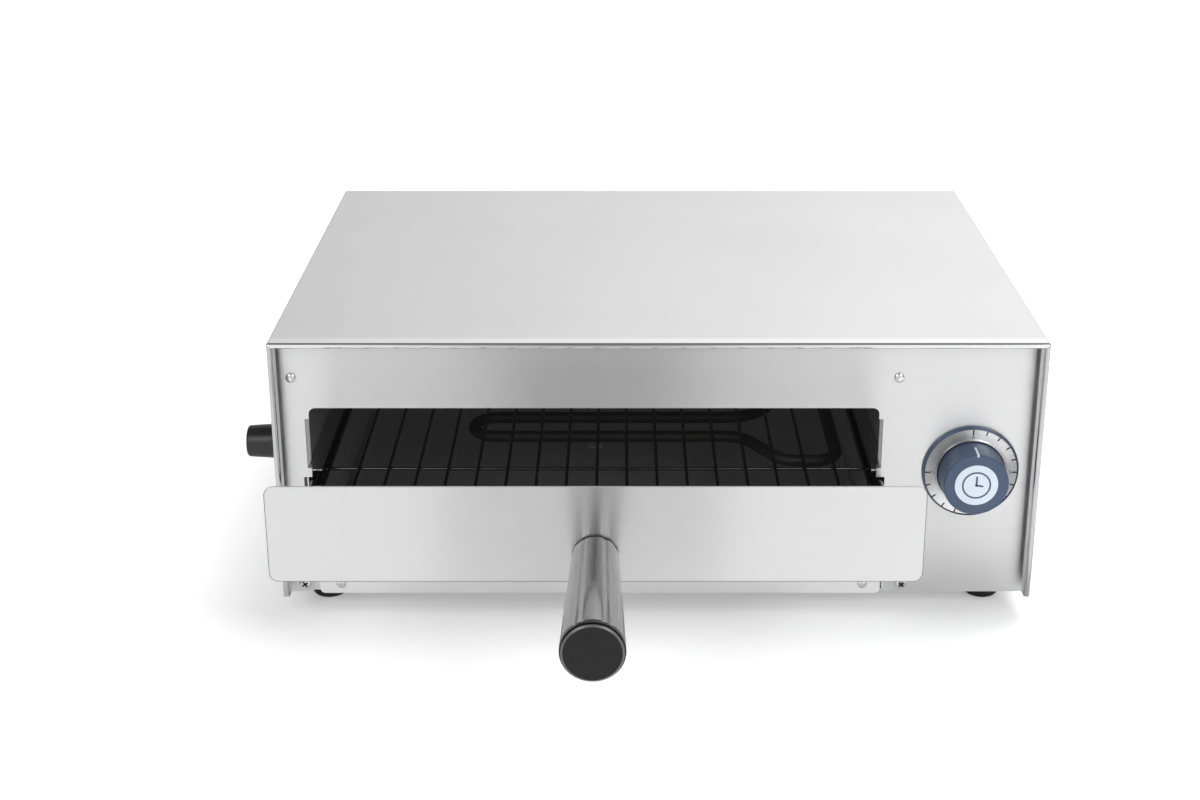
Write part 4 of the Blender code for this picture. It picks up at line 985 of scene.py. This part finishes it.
def add_prism(bm, points, thickness):
    """A thin raised mark: a flat outline on the dial or knob, and the same outline further out."""
    out = Vector((0, -thickness, 0))
    low = [bm.verts.new(p) for p in points]
    high = [bm.verts.new(p + out) for p in points]
    bm.faces.new(low)
    bm.faces.new(list(reversed(high)))
    join_rings(bm, low, high)


def dial():
    """The bezel and the brushed ring inside it."""
    seat = at(DIAL[0], PANEL_FRONT, DIAL[1])
    inside = RING_RADIUS + GAP
    bezel = [
        (DIAL_HOLE, GAP), (DIAL_HOLE, 0.0020), (inside, 0.0020), (inside, 0.0037, 0.0002),
        (0.0290, 0.0037, 0.0003), (0.02975, 0.0012, 0.0006), (0.02975, GAP, 0.0001),
    ]
    round_ring = {"segments": 128, "ring": True}
    lathe("dial_bezel", bezel, seat, "front", SLATE, "casing", "slate_plastic", ["timer_bezel"], **round_ring)
    ring = [
        (0.0209, 0.0023), (0.0209, 0.0038, 0.0002), (0.0216, 0.0038, 0.0003), (0.0220, RING_FACE, 0.0002),
        (RING_RADIUS, RING_FACE, 0.0001), (RING_RADIUS, 0.0023),
    ]
    lathe("dial_plate", ring, seat, "front", STEEL_DIAL, "casing", "casing_steel", ["dial_ring"], **round_ring)


def dial_marks():
    """A tick for every minute and a number for every fifth, sunk a hair into the ring."""
    base = RING_FACE - 0.00005
    half = math.degrees(TICK_HALF_WIDTH / 0.0265)
    outer = 0.0282
    bm = bmesh.new()
    for step in range(TICKS):
        angle = step * TICK_STEP
        inner = 0.0250 if step % 5 == 0 else 0.0256
        corners = [(angle - half, inner), (angle + half, inner), (angle + half, outer), (angle - half, outer)]
        add_prism(bm, [dial_point(a, r, base) for a, r in corners], 0.00010)
    for step in range(0, TICKS, 5):
        add_number(bm, str(step), dial_point(step * TICK_STEP, 0.0240 if step else 0.0236, base))
    finish_piece("dial_marks", bm, INK, "casing", weighted=False)


def add_number(bm, text, centre):
    """A small upright number on the dial."""
    letters = bpy.data.curves.new("number", "FONT")
    letters.body = text
    letters.size = NUMBER_SIZE
    letters.extrude = 0.00005
    letters.align_x = "CENTER"
    letters.align_y = "CENTER"
    letters.resolution_u = 3
    made = new_object("number", letters)
    made.location = centre + Vector((0, -0.00005, 0))
    made.rotation_euler = (math.pi / 2, 0, 0)
    graph = bpy.context.evaluated_depsgraph_get()
    mesh = bpy.data.meshes.new_from_object(made.evaluated_get(graph))
    mesh.transform(made.matrix_world if made.matrix_world.translation.length else made.matrix_basis)
    bm.from_mesh(mesh)
    bpy.data.objects.remove(made, do_unlink=True)


def knob():
    """The timer's knob, with the marks that turn with it."""
    seat = at(DIAL[0], PANEL_FRONT, DIAL[1])
    reach = KNOB_REACH
    profile = [
        (0, reach - 0.0002), (0.0182, reach - 0.0002, 0.0003), (0.0185, reach, 0.0002),
        (0.0191, reach, 0.0003), (0.0197, reach - 0.0008, 0.0005),
        (0.0202, 0.0050, 0.0006), (0.0202, 0.0024, 0.0003), (0.0033, 0.0024), (0.0033, 0.0150), (0, 0.0150),
    ]
    lathe("dial_knob", profile, seat, "front", SLATE, "timer", "slate_plastic", ["timer_knob"], segments=128)
    face = seat + Vector((0, -reach + 0.0002, 0))
    knob_symbol(face)
    knob_pointer(seat)


def knob_symbol(face):
    """A pale disc on the knob's face, with a plain clock: a ring and two hands."""
    disc = [(0, 0.0003), (0.0131, 0.0003, 0.0001), (0.0131, -0.0005), (0, -0.0005)]
    bm = bmesh.new()
    add_lathe(bm, fillet(disc, False, 2), face, "front", 96)
    finish_piece("knob_disc", bm, PALE, "timer")
    clock = [(0.0078, 0.0004), (0.0088, 0.0004), (0.0088, 0.0001), (0.0078, 0.0001)]
    bm = bmesh.new()
    add_lathe(bm, clock, face, "front", 72, True)
    base = face + Vector((0, -0.0001, 0))
    for angle, length in ((0, 0.0058), (100, 0.0042)):
        turn = math.radians(angle)
        along = Vector((math.sin(turn), 0, math.cos(turn)))
        side = Vector((math.cos(turn), 0, -math.sin(turn))) * HAND_WIDTH / 2
        tail = base - along * 0.0008
        tip = base + along * length
        add_prism(bm, [tail - side, tail + side, tip + side, tip - side], 0.00032)
    finish_piece("knob_symbol", bm, SLATE, "timer", weighted=False)


def knob_pointer(seat):
    """A pale line up the knob's side and over its edge."""
    reach = KNOB_REACH
    bm = bmesh.new()
    line = [(0.01998, 0.0110), (0.01980, reach - 0.0025), (0.0197, reach - 0.0008)]
    line += [(0.0191, reach + 0.00002), (0.0186, reach + 0.00002)]
    rows = []
    for radius, height in line:
        row = []
        for lift in (0.00012, -0.0004):
            for side in (-1, 1):
                row.append(bm.verts.new(seat + Vector((side * 0.0006, -(height + lift * 0.5), radius + lift))))
        rows.append(row)
    for first, second in zip(rows, rows[1:]):
        for a, b in ((0, 1), (1, 3), (3, 2), (2, 0)):
            bm.faces.new((first[a], first[b], second[b], second[a]))
    bm.faces.new((rows[0][0], rows[0][1], rows[0][3], rows[0][2]))
    bm.faces.new((rows[-1][0], rows[-1][2], rows[-1][3], rows[-1][1]))
    finish_piece("knob_pointer", bm, PALE, "timer")


def selector():
    """The plain black knob on the left side, with its stem through the cover."""
    seat = at(-HALF_WIDTH, *SELECTOR_SEAT)
    end, radius = 0.0197, 0.0108
    profile = [
        (0, end - 0.0003), (radius - 0.0042, end - 0.0002, 0.0008), (radius - 0.0012, end, 0.0022),
        (radius - 0.0003, 0.0045, 0.0008), (radius, 0.0032, 0.0004), (radius, GAP, 0.0005),
        (0.0030, GAP), (0.0030, -0.0078), (0, -0.0078),
    ]
    lathe("side_knob", profile, seat, "left", BLACK, "selector", "black_plastic", ["selector_knob"], segments=96)


# ---- studio


def studio():
    """The camera, the floor, two flags, three lights and the sky."""
    camera_data = bpy.data.cameras.new("camera")
    camera_data.sensor_width = 36
    camera_data.lens = 54.39
    camera_data.shift_x = -0.0178
    camera_data.shift_y = -0.0658
    camera_data.clip_start = 0.01
    camera_data.clip_end = 50
    camera = new_object("camera", camera_data)
    camera.location = at(-0.0220, -1.0020, 0.5640)
    camera.rotation_euler = (math.radians(70), 0, 0)
    bpy.context.scene.camera = camera
    floor()
    flag("floor_flag", [(-0.13, -0.29), (0.05, -0.29), (0.20, -2.2), (-0.28, -2.2)], 0.28)
    flag("side_flag", [(0.16, -0.075), (0.36, -0.075), (0.36, -0.12), (0.16, -0.12)], 0.45)
    overhead = softbox("overhead", (0.40, 0.42, 1.8), 1.4, 31)
    overhead.visible_glossy = False
    softbox("front_right", (1.3, -1.8, 1.5), 0.9, 14)
    softbox("front_left", (-1.3, -1.8, 1.5), 0.9, 12)
    sky()
    bpy.context.scene.view_settings.view_transform = "Standard"


def stage_object(name, corners, material):
    """One four-sided face that belongs to the studio."""
    mesh = bpy.data.meshes.new(name)
    mesh.from_pydata(corners, [], [(0, 1, 2, 3)])
    mesh.materials.append(material)
    made = new_object(name, mesh)
    return made


def floor():
    """A pale floor. For the camera, light of its own brightens it away from the oven's front."""
    material, tree, shader = start_material("studio_floor", Roughness=0.6)
    seen = socket(tree, "LightPath").outputs["Is Camera Ray"]
    cloud = noise(tree, scaled_position(tree, 3))
    tone = calculate(tree, "ADD", ramp(tree, cloud, -0.05, 0.05), seen)
    pale = blend_colours(tree, tone, (0.82, 0.82, 0.825), 0.97)
    shader.inputs["Emission Color"].default_value = (1, 1, 1, 1)
    place = socket(tree, "SeparateXYZ", {0: socket(tree, "TexCoord").outputs["Object"]}).outputs["Y"]
    shown = calculate(tree, "MULTIPLY", seen, ramp(tree, place, 0.25, 0.75, 0.2, 1.0))
    connect(tree, shader, Base_Color=pale, Emission_Strength=calculate(tree, "MAXIMUM", shown, 0.05))
    far = 9
    stage_object("floor", [(-far, -far, 0), (far, -far, 0), (far, far, 0), (-far, far, 0)], material)


def flag(name, corners, strength):
    """A dark card just above the floor that shows only in reflections. A strength of 1 is black."""
    material = bpy.data.materials.new(name)
    material.use_nodes = True
    tree = material.node_tree
    tree.nodes.clear()
    clear = socket(tree, "BsdfTransparent").outputs[0]
    dark = socket(tree, "BsdfDiffuse", {"Color": (0.02, 0.02, 0.02, 1)}).outputs[0]
    mixed = socket(tree, "MixShader", {0: strength, 1: clear, 2: dark}).outputs[0]
    socket(tree, "OutputMaterial", {"Surface": mixed})
    made = stage_object(name, [(x, y, FLAG_HEIGHT) for x, y in corners], material)
    made.visible_camera = False
    made.visible_diffuse = False
    made.visible_shadow = False
    made.visible_transmission = False


def sky():
    """Bright near the horizon, darker overhead, at the sides and behind the camera. A camera sees it white."""
    world = bpy.data.worlds.new("studio")
    bpy.context.scene.world = world
    world.use_nodes = True
    tree = world.node_tree
    background = tree.nodes["Background"]
    direction = socket(tree, "TexCoord").outputs["Generated"]
    parts = socket(tree, "SeparateXYZ", {0: direction}).outputs
    wide = calculate(tree, "ABSOLUTE", parts["X"])
    off_middle = calculate(tree, "ABSOLUTE", calculate(tree, "ADD", parts["X"], 0.015))

    def product(first, second):
        return calculate(tree, "MULTIPLY", first, second)

    def less(amount):
        return calculate(tree, "SUBTRACT", 1.0, amount)

    sides = ramp(tree, wide, 1.0, 0.15, 0.60, 0.95)
    roof = ramp(tree, parts["Z"], 1.0, 0.22, 0.52, 0.75)
    behind = product(ramp(tree, parts["Y"], 0.0, 1.0, 0.0, 0.3), ramp(tree, parts["X"], 0.49, 0.12, -0.30, 0.20))
    person = product(ramp(tree, parts["Y"], 0.7, 0.0, -0.6, -0.3), ramp(tree, off_middle, 1.0, 0.0, 0.03, 0.14))
    lift = product(ramp(tree, parts["Y"], 0.0, 1.0, 0.0, 0.3), ramp(tree, parts["Z"], 1.0, 1.38, 0.27, 0.40))
    raised = calculate(tree, "MAXIMUM", lift, 1.0)
    light = product(product(product(sides, roof), raised), product(less(behind), less(person)))
    seen = socket(tree, "LightPath").outputs["Is Camera Ray"]
    connect(tree, background, Strength=calculate(tree, "MAXIMUM", light, seen))
    background.inputs["Color"].default_value = (1, 1, 1, 1)


def softbox(name, place, size, power):
    """A square light that points at the middle of the oven's front."""
    data = bpy.data.lights.new(name, "AREA")
    data.shape = "SQUARE"
    data.size = size
    data.energy = power
    light = new_object(name, data)
    light.location = place
    light.rotation_euler = (LIT_POINT - Vector(place)).to_track_quat("-Z", "Y").to_euler()
    return light


casing()
door()
rack_wires()
handle()
tray()
heaters()
dial()
dial_marks()
knob()
selector()
for finish, bevel, nodes in DRESSED:
    for node in nodes.split():
        dress(node, finish, bevel)
studio()
